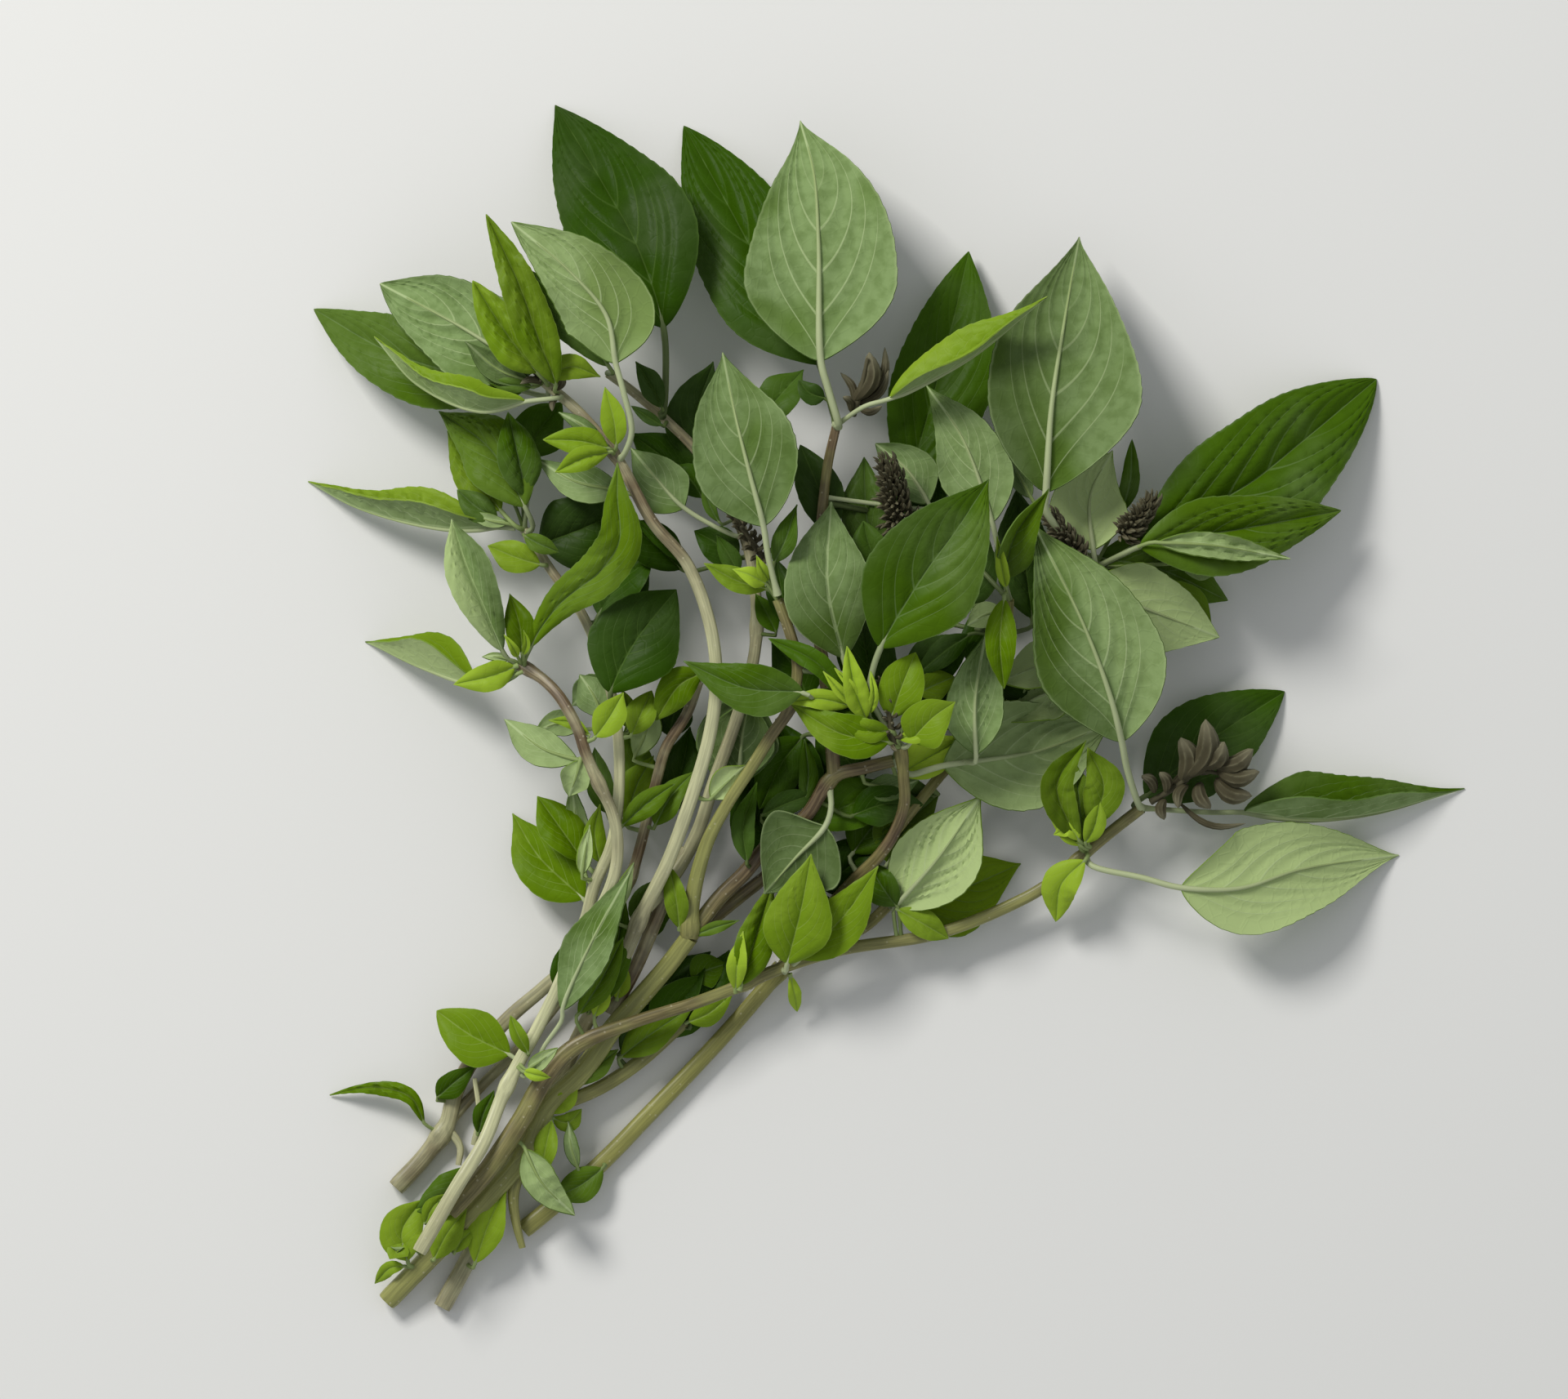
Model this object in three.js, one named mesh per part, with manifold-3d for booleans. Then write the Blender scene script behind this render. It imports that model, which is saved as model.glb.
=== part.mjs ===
// A bunch of Thai basil: cut, branching stems with their leaves and flower spikes, lying loose on a surface.
// Millimetres, +Z up. The origin is on the surface, under the middle of the bunch; the cut ends point to -X -Y
// and the leafy tips fan out towards +X +Y. Every point below is a centre line point [x, y, height].

import * as THREE from 'three';
import { mergeVertices } from 'three/addons/utils/BufferGeometryUtils.js';
import Module from 'manifold-3d';

const wasm = await Module();
wasm.setup();

// Driving dimensions
const TRUNK_WIDTH = 5.0;
const STEM_WIDTH = 4.4;
const SLIM_STEM_WIDTH = 3.8;
const BRANCH_WIDTH = 3.4;
const TWIG_WIDTH = 2.6;
const STALK_WIDTH = 1.8;
const STALK_FLATNESS = 0.7;
const BLADE_THICKNESS = 0.6;
const KEEL_DEPTH = 0.5;
const BLADE_ROUNDNESS = 0.8;
const STEM_STEP = 11;
const WHORL_STEP = 5;
const WHORL_WAIST = 0.6;
const SPIKE_TAPER = 0.8;
const SPIKE_SIDES = 8;
const CURVE_SAMPLES = 200;
const FACE_DOWN = [180, 180];

const TRUNK_REST = TRUNK_WIDTH / 2;
const STEM_REST = STEM_WIDTH / 2;

// Where the cross-sections of a blade stand, from 0 at its base to 1 at its tip
const BLADE_STATIONS = [0.1, 0.25, 0.42, 0.6, 0.78, 0.92];

const finish = (colour, roughness) => new THREE.MeshStandardMaterial({ color: colour, roughness, metalness: 0 });
const PALE_STEM = finish(0xb9ad8c, 0.6);
const OLIVE_STEM = finish(0x8a8450, 0.6);
const BROWN_STEM = finish(0x7d6a5a, 0.6);
const DARK_LEAF = finish(0x35531f, 0.5);
const GREEN_LEAF = finish(0x55792b, 0.5);
const BRIGHT_LEAF = finish(0x86a82f, 0.5);
const UNDERSIDE = finish(0x91a87d, 0.75);
const FLOWER = finish(0x3f302d, 0.8);

const bunch = new THREE.Group();

const point = ([x, y, z]) => new THREE.Vector3(x, y, z);

const curveThrough = (points) => new THREE.CatmullRomCurve3(points.map(point), false, 'centripetal');

// The upright normal and the side of a curve at a place along it, turned by roll degrees about the curve.
function frameAt(curve, along, roll) {
  const centre = curve.getPointAt(along);
  const tangent = curve.getTangentAt(along);
  const normal = new THREE.Vector3(0, 0, 1).addScaledVector(tangent, -tangent.z).normalize();
  normal.applyAxisAngle(tangent, THREE.MathUtils.degToRad(roll));
  const side = new THREE.Vector3().crossVectors(normal, tangent);
  return { centre, normal, side };
}

// Turns an outline of [side, normal] pairs into a ring of points standing across the curve.
function ringAt(curve, along, roll, outline) {
  const { centre, normal, side } = frameAt(curve, along, roll);
  return outline.map(([x, y]) => centre.clone().addScaledVector(side, x).addScaledVector(normal, y));
}

// A closed skin over rings of equal count, drawn in to one point at each end.
function skinOver(rings, first, last) {
  const count = rings[0].length;
  const corners = [first, ...rings.flat(), last];
  const faces = [];
  const corner = (ring, k) => 1 + ring * count + (k % count);
  for (let k = 0; k < count; k += 1) {
    faces.push(0, corner(0, k + 1), corner(0, k));
    for (let ring = 0; ring + 1 < rings.length; ring += 1) {
      faces.push(corner(ring, k), corner(ring, k + 1), corner(ring + 1, k + 1));
      faces.push(corner(ring, k), corner(ring + 1, k + 1), corner(ring + 1, k));
    }
    faces.push(corners.length - 1, corner(rings.length - 1, k), corner(rings.length - 1, k + 1));
  }
  const geometry = new THREE.BufferGeometry();
  geometry.setAttribute('position', new THREE.Float32BufferAttribute(corners.flatMap((c) => c.toArray()), 3));
  geometry.setIndex(faces);
  return geometry;
}

function add(name, geometry, material) {
  const mesh = new THREE.Mesh(geometry, material);
  mesh.name = name;
  bunch.add(mesh);
}

// Stems: square in section, tapering from the first point to the last

function stemSolid(points, startWidth, endWidth) {
  const curve = curveThrough(points);
  const steps = Math.ceil(curve.getLength() / STEM_STEP);
  const rings = [];
  for (let step = 0; step <= steps; step += 1) {
    const half = THREE.MathUtils.lerp(startWidth, endWidth, step / steps) / 2;
    rings.push(ringAt(curve, step / steps, 0, [[half, -half], [half, half], [-half, half], [-half, -half]]));
  }
  return skinOver(rings, point(points[0]), point(points.at(-1)));
}

function toManifold(geometry) {
  const bare = mergeVertices(geometry, 1e-4);
  const vertProperties = new Float32Array(bare.attributes.position.array);
  const triVerts = new Uint32Array(bare.index.array);
  return new wasm.Manifold(new wasm.Mesh({ numProp: 3, vertProperties, triVerts }));
}

function fromManifold(solid) {
  const { vertProperties, triVerts } = solid.getMesh();
  const geometry = new THREE.BufferGeometry();
  geometry.setAttribute('position', new THREE.BufferAttribute(vertProperties, 3));
  geometry.setIndex(new THREE.BufferAttribute(triVerts, 1));
  return geometry;
}

// A stem that grew with its branches: each branch is [points, width at its start, width at its end].
function stem(name, material, ...branches) {
  const solids = branches.map(([points, start, end]) => toManifold(stemSolid(points, start, end)));
  add(name, fromManifold(solids.reduce((grown, branch) => grown.add(branch))), material);
}

// Leaves: a stalk, then a blade of two halves folded up along the midrib, with a keel beneath it

// The share of the full width that a blade has, from 0 at its base to 1 at its tip: rounded below, widest at
// the given place and drawn out to a tip above, more so with a higher tipPower.
function bladeShare(along, widest, taper, tipPower) {
  const quarter = Math.PI / 2;
  const share = along < widest
    ? Math.sin((quarter * along) / widest) ** BLADE_ROUNDNESS
    : Math.cos((quarter * (along - widest)) / (1 - widest)) ** tipPower;
  return share * (1 - taper * along);
}

// The outline across a leaf: an edge, an upper and a lower corner on each half, and two corners on the midrib.
// Each half is tilted up by fold degrees; where it is narrow and steep, the skin is thinner.
function leafSection(right, left, halfSkin, keel, fold) {
  const tilt = THREE.MathUtils.degToRad(fold);
  const [out, up] = [Math.cos(tilt), Math.sin(tilt)];
  const skin = Math.min(halfSkin, (0.35 * Math.min(right, left) * out) / Math.max(Math.abs(up), 0.01));
  const middle = Math.min(skin / out, 2 * skin);
  const half = (width, sign) => ({
    edge: [sign * width * out, width * up],
    upper: [sign * (0.5 * width * out - skin * up), 0.5 * width * up + skin * out],
    lower: [sign * (0.5 * width * out + skin * up), 0.5 * width * up - skin * out],
  });
  const [r, l] = [half(right, 1), half(left, -1)];
  return [r.edge, r.upper, [0, middle], l.upper, l.edge, l.lower, [0, -middle - keel], r.lower];
}

// stalk: points before the blade; blade: points from its base to its tip; roll: degrees about the midrib at
// the base and at the tip, 180 where the underside faces up; fold: how far each half is lifted, in degrees;
// lean: more than 1 widens the first half; widest: where along the blade it is broadest; taper: how much
// narrower than its outline the blade ends; tipPower: how drawn out its tip is.
function leaf(name, material, stalk, blade, width, shape = {}) {
  const { roll = [0, 0], fold = 8, lean = 1, widest = 0.34, taper = 0, tipPower = 1.22 } = shape;
  const curve = curveThrough([...stalk, ...blade]);
  const lengths = curve.getLengths(CURVE_SAMPLES);
  const baseSample = Math.round((CURVE_SAMPLES * stalk.length) / (stalk.length + blade.length - 1));
  const base = lengths[baseSample] / lengths.at(-1);
  const stalkSteps = stalk.length + 1;
  const stalkHalf = STALK_WIDTH / 2;
  const stalkOutline = leafSection(stalkHalf, stalkHalf, stalkHalf * STALK_FLATNESS, 0, 0);
  const rings = [];
  for (let step = 0; step <= stalkSteps; step += 1) {
    rings.push(ringAt(curve, (base * step) / stalkSteps, roll[0], stalkOutline));
  }
  for (const station of BLADE_STATIONS) {
    const half = (width / 2) * bladeShare(station, widest, taper, tipPower);
    const turned = THREE.MathUtils.lerp(roll[0], roll[1], station);
    const keel = KEEL_DEPTH * (1 - station);
    const section = leafSection(half * lean, half * (2 - lean), BLADE_THICKNESS / 2, keel, fold);
    rings.push(ringAt(curve, THREE.MathUtils.lerp(base, 1, station), turned, section));
  }
  add(name, skinOver(rings, curve.getPointAt(0), curve.getPointAt(1)), material);
}

// Flower spikes: whorls of calyces crowded round a stalk, drawn as one ribbed spindle each

function spike(name, points, width) {
  const curve = curveThrough(points);
  const whorls = Math.max(2, Math.round(curve.getLength() / WHORL_STEP));
  const rings = [];
  for (let step = 0; step <= 2 * whorls; step += 1) {
    const along = step / (2 * whorls);
    const swell = step % 2 ? 1 : WHORL_WAIST;
    const radius = (width / 2) * swell * Math.sqrt(1 - SPIKE_TAPER * along * along);
    const outline = [];
    for (let k = 0; k < SPIKE_SIDES; k += 1) {
      const angle = (2 * Math.PI * k) / SPIKE_SIDES;
      outline.push([radius * Math.cos(angle), radius * Math.sin(angle)]);
    }
    rings.push(ringAt(curve, along, 0, outline));
  }
  add(name, skinOver(rings, curve.getPointAt(0), curve.getPointAt(1)), FLOWER);
}

// The stems, from their cut ends outwards

stem('long_pale_stem', PALE_STEM,
  [[[-98.6, -133, STEM_REST], [-91.3, -119.5, STEM_REST], [-77.5, -92, STEM_REST], [-72, -81.5, 2.7],
    [-68, -72.5, 4.6], [-63, -63.5, 9.5], [-58.5, -56, 13], [-54, -45.5, 17], [-48.5, -34.5, 20],
    [-44.5, -24, 23], [-39, -6, 28], [-37.5, 7, 30.5], [-39, 19, 32], [-44, 32, 32.5], [-51.5, 41, 32.5],
    [-59, 54.5, 31], [-67.5, 65, 29], [-75.5, 72, 27]], STEM_WIDTH, 3],
  [[[-53, -44, 16], [-47, -37, 14.5], [-42, -28, 14.5], [-38, -16, 17], [-33, -2, 19], [-29, 13, 20],
    [-29, 27, 20], [-31, 37, 20], [-36, 48, 20], [-42, 57, 20], [-49, 64, 20.5], [-56, 70, 21],
    [-61.5, 74, 22]], BRANCH_WIDTH, 2.2]);

stem('lower_left_stem', PALE_STEM,
  [[[-108.8, -106.4, STEM_REST], [-102, -99, STEM_REST], [-97.5, -92.5, 2.6], [-95.5, -85, 3.5], [-91, -77, 5],
    [-83.5, -68.5, 6.5], [-76, -62, 8], [-69.5, -55.5, 10], [-66.5, -47, 12.5], [-64.5, -39, 15],
    [-61, -31, 17.5], [-59.3, -22, 19.5], [-59.3, -5, 21.5], [-62, 8, 21.5], [-67, 20.5, 21], [-74, 30.5, 19.5],
    [-80, 39.5, 18]], STEM_WIDTH, 3],
  [[[-97.5, -92.5, 2.6], [-90, -84, 2.3], [-80, -74, 2.5], [-70.5, -62, 4.5], [-62, -47, 9], [-57, -38.5, 12],
    [-52, -21, 16], [-50.5, -14.8, 17], [-48.7, -8.7, 18], [-44, -1, 19], [-41.5, 6, 19.5]],
  TWIG_WIDTH, TWIG_WIDTH]);

stem('crooked_pale_stem', PALE_STEM,
  [[[-103.2, -120, 16.8], [-94.5, -105, 18.1], [-89, -96, 16.5], [-85, -86, 14.6], [-82, -79.7, 14.6],
    [-77.5, -71.5, 15], [-73, -62.5, 15.6], [-69.5, -54.5, 16.6], [-65.5, -48, 18.2], [-62.5, -43, 20],
    [-60, -36.5, 22], [-59.3, -29.5, 24], [-60.4, -23, 25.5], [-63.5, -16.3, 27], [-66.3, -9.8, 27.5],
    [-68, -4.6, 27], [-69.9, -0.8, 26.2], [-72.5, 3.2, 25], [-75.7, 6.4, 23.5], [-80.6, 9.6, 21.5]],
    SLIM_STEM_WIDTH, 2.8]);

stem('middle_trunk', BROWN_STEM,
  [[[-110.7, -131.5, TRUNK_REST], [-98.8, -119.3, 5.9], [-89.4, -109.6, 7.9], [-80.2, -98.6, 8.1], [-75.7, -89, 8.1],
    [-66.7, -79.7, 8.6], [-60.4, -70.7, 8.8], [-54, -63.5, 9.6], [-48, -56.5, 11], [-43.5, -50.5, 13]],
  TRUNK_WIDTH, TRUNK_WIDTH],
  [[[-43.5, -50.5, 13], [-43, -43, 15], [-39.8, -30.2, 20], [-35.2, -21.2, 23.3], [-29.8, -13, 26],
    [-25.3, -5.8, 28.5], [-21.6, -0.4, 30], [-20, 5, 30.5], [-19.7, 10.4, 31], [-21.6, 17.6, 31.5],
    [-24, 24, 32]], STEM_WIDTH, BRANCH_WIDTH],
  [[[-43.5, -50.5, 13], [-37, -42, 12.5], [-31.5, -36.5, 13], [-25.5, -29.5, 14.5], [-18, -24, 16.5],
    [-11.5, -15, 19], [-4.5, -13, 20], [1.5, -11.5, 20.5]], STEM_WIDTH, BRANCH_WIDTH],
  [[[-75.7, -89, 8.1], [-63.6, -84.2, 5.5], [-55, -78.6, 4.4], [-45.3, -70, 3.2], [-37, -63.2, 2.4]],
    BRANCH_WIDTH, BRANCH_WIDTH],
  [[[-11.5, -15, 19], [-13, 3, 21], [-15.3, 21, 22], [-14.5, 39, 23], [-13, 53.5, 24], [-11, 62.5, 25]],
    BRANCH_WIDTH, 2.2]);

stem('right_purple_stem', BROWN_STEM,
  [[[-96.6, -111.5, 12.4], [-89.2, -103.4, 13.2], [-81, -91.5, 13.4], [-75.6, -82, 14.2], [-69.2, -75, 15],
    [-56, -69.4, 15.2], [-42.5, -65.2, 13.8], [-33.5, -61.8, 12], [-22.5, -57.2, 10.6], [-10, -53.4, 9.4],
    [11.6, -49.8, 8.6], [29.6, -42.6, 9], [36.8, -38.3, 9.6], [43.6, -32.5, 10.8], [49.5, -27.5, 12],
    [56.5, -22, 13.5]], STEM_WIDTH, BRANCH_WIDTH]);

stem('olive_trunk', OLIVE_STEM,
  [[[-80.5, -115.8, STEM_REST], [-70.3, -107.4, STEM_REST], [-62, -99.8, STEM_REST],
    [-52.6, -90.1, STEM_REST], [-42, -79.1, 2.3], [-33.2, -69.5, 3], [-23, -57.5, 4.4]],
  STEM_WIDTH, STEM_WIDTH],
  [[[-23, -57.5, 4.4], [-14.4, -52.6, 3.6], [-5, -48.6, 3.2], [1.2, -43, 4]], BRANCH_WIDTH, TWIG_WIDTH],
  [[[-23, -57.5, 4.4], [-14, -46, 6.5], [-7.2, -38.2, 11], [-1.8, -32.8, 15], [1.8, -27.4, 18.5],
    [3.9, -21.2, 22.5], [3.7, -14.8, 26.2], [3.1, -8.5, 28.5]], BRANCH_WIDTH, TWIG_WIDTH],
  [[[1.8, -27.4, 18.5], [11, -16, 13], [20, -5, 12], [26, 10, 17], [27, 24, 22]], TWIG_WIDTH, TWIG_WIDTH],
  [[[15, -11, 12.5], [27, -4, 7], [38.5, 3, 8], [43, 18, 13], [46, 31, 18]], TWIG_WIDTH, TWIG_WIDTH]);

// The leaves of the upper left head

leaf('pale_curled_leaf', UNDERSIDE, [[-57.4, 56.5, 34.8], [-56, 61, 38], [-57.8, 69.5, 41]],
  [[-59.5, 75.7, 42], [-61.5, 86, 43], [-69.4, 95.6, 43], [-82.4, 106.7, 40]], 21,
  { roll: FACE_DOWN, fold: -6, lean: 1.1, widest: 0.3, taper: 0.25, tipPower: 0.9 });
leaf('far_left_leaf', GREEN_LEAF, [[-75, 69, 23]],
  [[-80.2, 70.1, 22], [-109, 78.6, 12], [-127, 88.7, 0.2]], 17.5, { widest: 0.42, tipPower: 0.9 });
leaf('upper_left_underside_leaf', UNDERSIDE, [[-74, 74, 30]],
  [[-77.5, 74.5, 30.5], [-94.6, 84.6, 24], [-112, 94, 13]], 20.5,
  { roll: FACE_DOWN, fold: -6, tipPower: 0.85 });
leaf('left_folded_leaf', UNDERSIDE, [[-72.6, 68.3, 31.5]],
  [[-79.5, 67.5, 32], [-89.5, 65.5, 30.5], [-103.6, 71.5, 26.5], [-113, 82, 23]], 13,
  { roll: [50, 62], fold: 68, widest: 0.3 });
leaf('crinkled_leaf', BRIGHT_LEAF, [[-75, 72, 31]],
  [[-77, 74, 33.5], [-84, 83, 35], [-91, 94, 33]], 10, { fold: 20, tipPower: 0.9 });
leaf('twisted_tip_leaf', BRIGHT_LEAF, [[-73, 70, 32]],
  [[-72.8, 71.6, 35], [-76.3, 80.6, 38], [-80.8, 93.2, 39], [-88, 108.5, 36]], 9.5,
  { fold: 25, tipPower: 0.9 });

// The leaves of the left head

leaf('left_upper_leaf', GREEN_LEAF, [[-78, 40, 21]],
  [[-79.8, 44.6, 24], [-87.4, 57.2, 20], [-99, 65.8, 10]], 14.5, { fold: 10 });
leaf('left_hanging_leaf', BRIGHT_LEAF, [[-81.5, 40, 20.5]],
  [[-85.2, 43.8, 19], [-91.2, 52, 14], [-97.2, 61.5, 6]], 9.5, { fold: 10 });
leaf('left_pointing_leaf', UNDERSIDE, [[-82, 40, 18.4]],
  [[-86, 40, 18], [-95, 39.6, 16], [-106, 41.2, 12], [-118.5, 45, 6], [-128.3, 50.4, 0.2]], 15,
  { roll: [60, 60], fold: 66 });

// The leaves of the crooked stem

leaf('arching_leaf', GREEN_LEAF, [[-79.8, 10.6, 24.5]],
  [[-78.2, 14, 25.5], [-75.6, 18.6, 27], [-71, 24, 29], [-63.1, 30.2, 32.5], [-58.8, 37, 36],
    [-59.2, 46, 37], [-59.2, 54, 36.8]], 10, { roll: [0, 15], widest: 0.6 });
leaf('left_tall_leaf', GREEN_LEAF, [[-83, 10.5, 24]],
  [[-84.8, 13, 25.5], [-88.6, 22, 27], [-92.4, 31, 26], [-95.9, 41.7, 22]], 14,
  { fold: 28, widest: 0.55 });
leaf('left_cupped_leaf', UNDERSIDE, [[-83.5, 7.6, 21]],
  [[-90, 5.6, 18.5], [-102, 8.8, 11], [-115.6, 14.8, 0.2]], 16.5, { roll: [60, 60], fold: 68 });

// The leaves in the middle of the bunch

leaf('middle_left_leaf', UNDERSIDE, [[-55.5, 47, 27]],
  [[-58.5, 48, 26], [-68.5, 50, 24], [-77.5, 55.2, 20]], 8, { roll: FACE_DOWN, fold: -6 });
leaf('beside_stem_leaf', UNDERSIDE, [[-33, 38, 23]],
  [[-44.6, 44.2, 25], [-51, 51, 25], [-56.4, 57.5, 23]], 12, { roll: FACE_DOWN, fold: -6 });
leaf('dark_middle_leaf', DARK_LEAF, [[-60.5, 1, 24.5]],
  [[-60.8, 3.5, 27], [-55.9, 14, 27], [-46.4, 26.2, 22]], 19.5, { widest: 0.42, tipPower: 0.95 });
leaf('pale_middle_leaf', UNDERSIDE, [[-24, 25, 34], [-26, 33, 37]],
  [[-27.1, 40, 39], [-30, 51, 41], [-33, 63, 40], [-36.1, 78.2, 34]], 23,
  { roll: FACE_DOWN, fold: -6, widest: 0.38 });
leaf('inner_pale_leaf', UNDERSIDE, [[-9, 8, 33]],
  [[-9.6, 11.3, 34], [-13, 26.6, 33], [-12.2, 45.5, 27]], 19, { widest: 0.42 });
leaf('bright_edged_leaf', GREEN_LEAF, [[-3.7, 2.6, 36], [-3.5, 6.8, 38]],
  [[-1.4, 13.4, 39.5], [8, 29.3, 42], [15.2, 39.2, 41], [22.4, 50.3, 36]], 24.5, { widest: 0.4 });
leaf('bright_cross_leaf', BRIGHT_LEAF, [[-16.5, 2.5, 36]],
  [[-18.6, 3.5, 37], [-31, 4.5, 38.5], [-44.6, 10.4, 36]], 11, { fold: 12 });
leaf('crown_left_leaf', BRIGHT_LEAF, [[1.6, -8.2, 31]],
  [[0.3, -7.4, 32.5], [-10, -5.5, 35], [-21.2, 1, 33.5]], 9.5, { fold: 15 });
leaf('crown_right_leaf', BRIGHT_LEAF, [[4.6, -8.3, 31]],
  [[5.4, -7, 33], [10, -2, 36], [15, 1.5, 35]], 11, { fold: 15 });

// The leaves along the top

leaf('top_left_leaf', DARK_LEAF, [[-49.2, 65, 23], [-48.7, 72, 24.5]],
  [[-49.2, 84, 25], [-55, 102, 20], [-62, 115, 12], [-73.4, 134, 0.2]], 28, { widest: 0.36, tipPower: 1 });
leaf('top_middle_leaf', DARK_LEAF, [[-12, 66, 22]],
  [[-14.8, 76, 21], [-27.2, 97, 15], [-35.6, 112.6, 8], [-44.8, 129.4, 0.2]], 27, { tipPower: 0.9 });
leaf('top_right_pale_leaf', UNDERSIDE, [[-10.5, 62.2, 28], [-13, 70.7, 31]],
  [[-14.5, 76.4, 32], [-15, 102.2, 29], [-16, 118, 22], [-19, 130, 13]], 33.5,
  { roll: FACE_DOWN, fold: -6, lean: 1.05, widest: 0.32 });
leaf('top_folded_leaf', BRIGHT_LEAF, [[-4.6, 66.6, 31]],
  [[0.8, 68.2, 31.5], [18.8, 77.3, 35], [35.2, 90.4, 39]], 13, { roll: [-60, -60], fold: 45 });
leaf('dark_triangle_leaf', DARK_LEAF, [[2, 44, 17]],
  [[4, 48, 16], [14.4, 84.2, 10], [18.4, 101.4, 3]], 21.5, { lean: 0.9, widest: 0.45, tipPower: 0.95 });

// The leaves on the right

leaf('right_underside_leaf', UNDERSIDE, [[34.8, 44, 31.5]],
  [[35, 47.6, 32.5], [36.2, 66.2, 33], [39, 84.2, 26], [42.8, 104.4, 10]], 33,
  { roll: FACE_DOWN, fold: -6, lean: 1.12 });
leaf('right_behind_leaf', UNDERSIDE, [[46.2, 31.5, 21]],
  [[45.7, 35, 21], [45, 47, 20.5], [50, 57, 18]], 17, { roll: FACE_DOWN, fold: -6 });
leaf('inner_right_leaf', UNDERSIDE, [[24, 38, 26]],
  [[23.3, 41, 26.5], [17, 59, 26], [8.9, 71.2, 22]], 15.5, { roll: FACE_DOWN, fold: -6 });
leaf('upright_folded_leaf', GREEN_LEAF, [[26.5, 26, 25]],
  [[26, 28.5, 27], [28, 38, 34], [35.5, 48.2, 39]], 9, { roll: [40, 40], fold: 35 });
leaf('right_central_leaf', UNDERSIDE, [[55.7, -21, 16.5], [53, -13, 23]],
  [[51.8, -7.3, 27], [49, 3.2, 31], [43, 19, 33], [32.3, 40.6, 32]], 27.5,
  { roll: FACE_DOWN, fold: -6, lean: 1.06, widest: 0.38 });
leaf('upper_right_leaf', DARK_LEAF, [[53, 34.5, 22]],
  [[56.1, 36.5, 22], [80, 49.6, 15], [91.5, 58.6, 10], [109, 73.1, 0.2]], 27,
  { widest: 0.42, tipPower: 0.8 });
leaf('right_narrow_leaf', GREEN_LEAF, [[52, 34, 27]],
  [[55.9, 35.7, 27.5], [78, 39.6, 22.4], [100.6, 43.8, 12.5]], 17, { fold: 12, lean: 0.92, tipPower: 0.95 });
leaf('right_lower_leaf', GREEN_LEAF, [[44, 34, 17.5]],
  [[46.7, 33.4, 17], [60, 31, 13], [75.8, 24, 5]], 15, { tipPower: 0.95 });
leaf('right_pale_lower_leaf', UNDERSIDE, [[43, 27.5, 19.5]],
  [[44.9, 27.2, 21], [58, 21.8, 19], [73.8, 15.8, 12]], 18, { roll: FACE_DOWN, fold: -6, tipPower: 0.95 });
leaf('behind_flower_leaf', DARK_LEAF, [[55, -21, 9]],
  [[57.5, -19.4, 9], [72, -7, 6], [88.6, 3.7, 0.2]], 20, { tipPower: 0.85 });
leaf('far_right_folded_leaf', GREEN_LEAF, [[72, -23, 12]],
  [[79.1, -23, 12], [92.6, -24.6, 10], [108, -23.4, 6], [128.6, -17.8, 0.2]], 17.5,
  { roll: [-63, -63], fold: 68, lean: 1.18, widest: 0.27 });
leaf('far_right_pale_leaf', UNDERSIDE, [[45.4, -34.7, 13], [56.6, -37.4, 15]],
  [[65.2, -39.6, 16], [78, -39.8, 15], [92, -35.6, 11], [114, -32.6, 0.2]], 23,
  { roll: FACE_DOWN, fold: -6, lean: 0.96, widest: 0.35 });
leaf('twisted_left_leaf', BRIGHT_LEAF, [[43, -31, 14]],
  [[42.6, -29.5, 16], [35.6, -17, 21], [44, -6.4, 24]], 9, { fold: 25, widest: 0.55 });
leaf('twisted_right_leaf', BRIGHT_LEAF, [[44.5, -30, 14]],
  [[45.5, -26, 16], [50, -17, 19], [42, -9, 21]], 9.5, { fold: 25, widest: 0.5 });
leaf('stalked_pale_leaf', UNDERSIDE, [[5, -14.5, 21], [9, -13.6, 20.6]],
  [[12.6, -12.6, 20.4], [33, -9.5, 15.5], [50.3, -3.2, 8]], 24.5,
  { roll: FACE_DOWN, fold: -6, widest: 0.4 });

// The leaves under the right stems

leaf('dark_low_leaf', DARK_LEAF, [[2, -43.8, 6.2]],
  [[4.4, -43.8, 5.4], [17, -40, 3.6], [30, -34.5, 1]], 19, { fold: 6 });
leaf('pale_low_leaf', UNDERSIDE, [[1.5, -44.5, 8]],
  [[2.1, -43.7, 11], [11.5, -33, 17], [21, -19.2, 17.5]], 18.5,
  { roll: FACE_DOWN, fold: -6, widest: 0.45 });
leaf('bright_front_leaf', BRIGHT_LEAF, [[-22.3, -58.4, 13.5]],
  [[-21.9, -56.3, 16], [-18.8, -44, 21], [-16.6, -32.1, 22.5]], 14.5, { widest: 0.38 });
leaf('bright_side_leaf', BRIGHT_LEAF, [[-20.3, -56.5, 13.6]],
  [[-18.9, -55.2, 14.2], [-9.5, -46, 16.5], [-1.8, -34.8, 19.5]], 11.5, { fold: 10 });
leaf('grey_green_leaf', UNDERSIDE, [[-12.5, -25, 19.5]],
  [[-13.5, -26, 19.5], [-20, -33, 18.5], [-27, -41, 17]], 21, { roll: FACE_DOWN, fold: -6 });

// The leaves beside the stems

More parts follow.
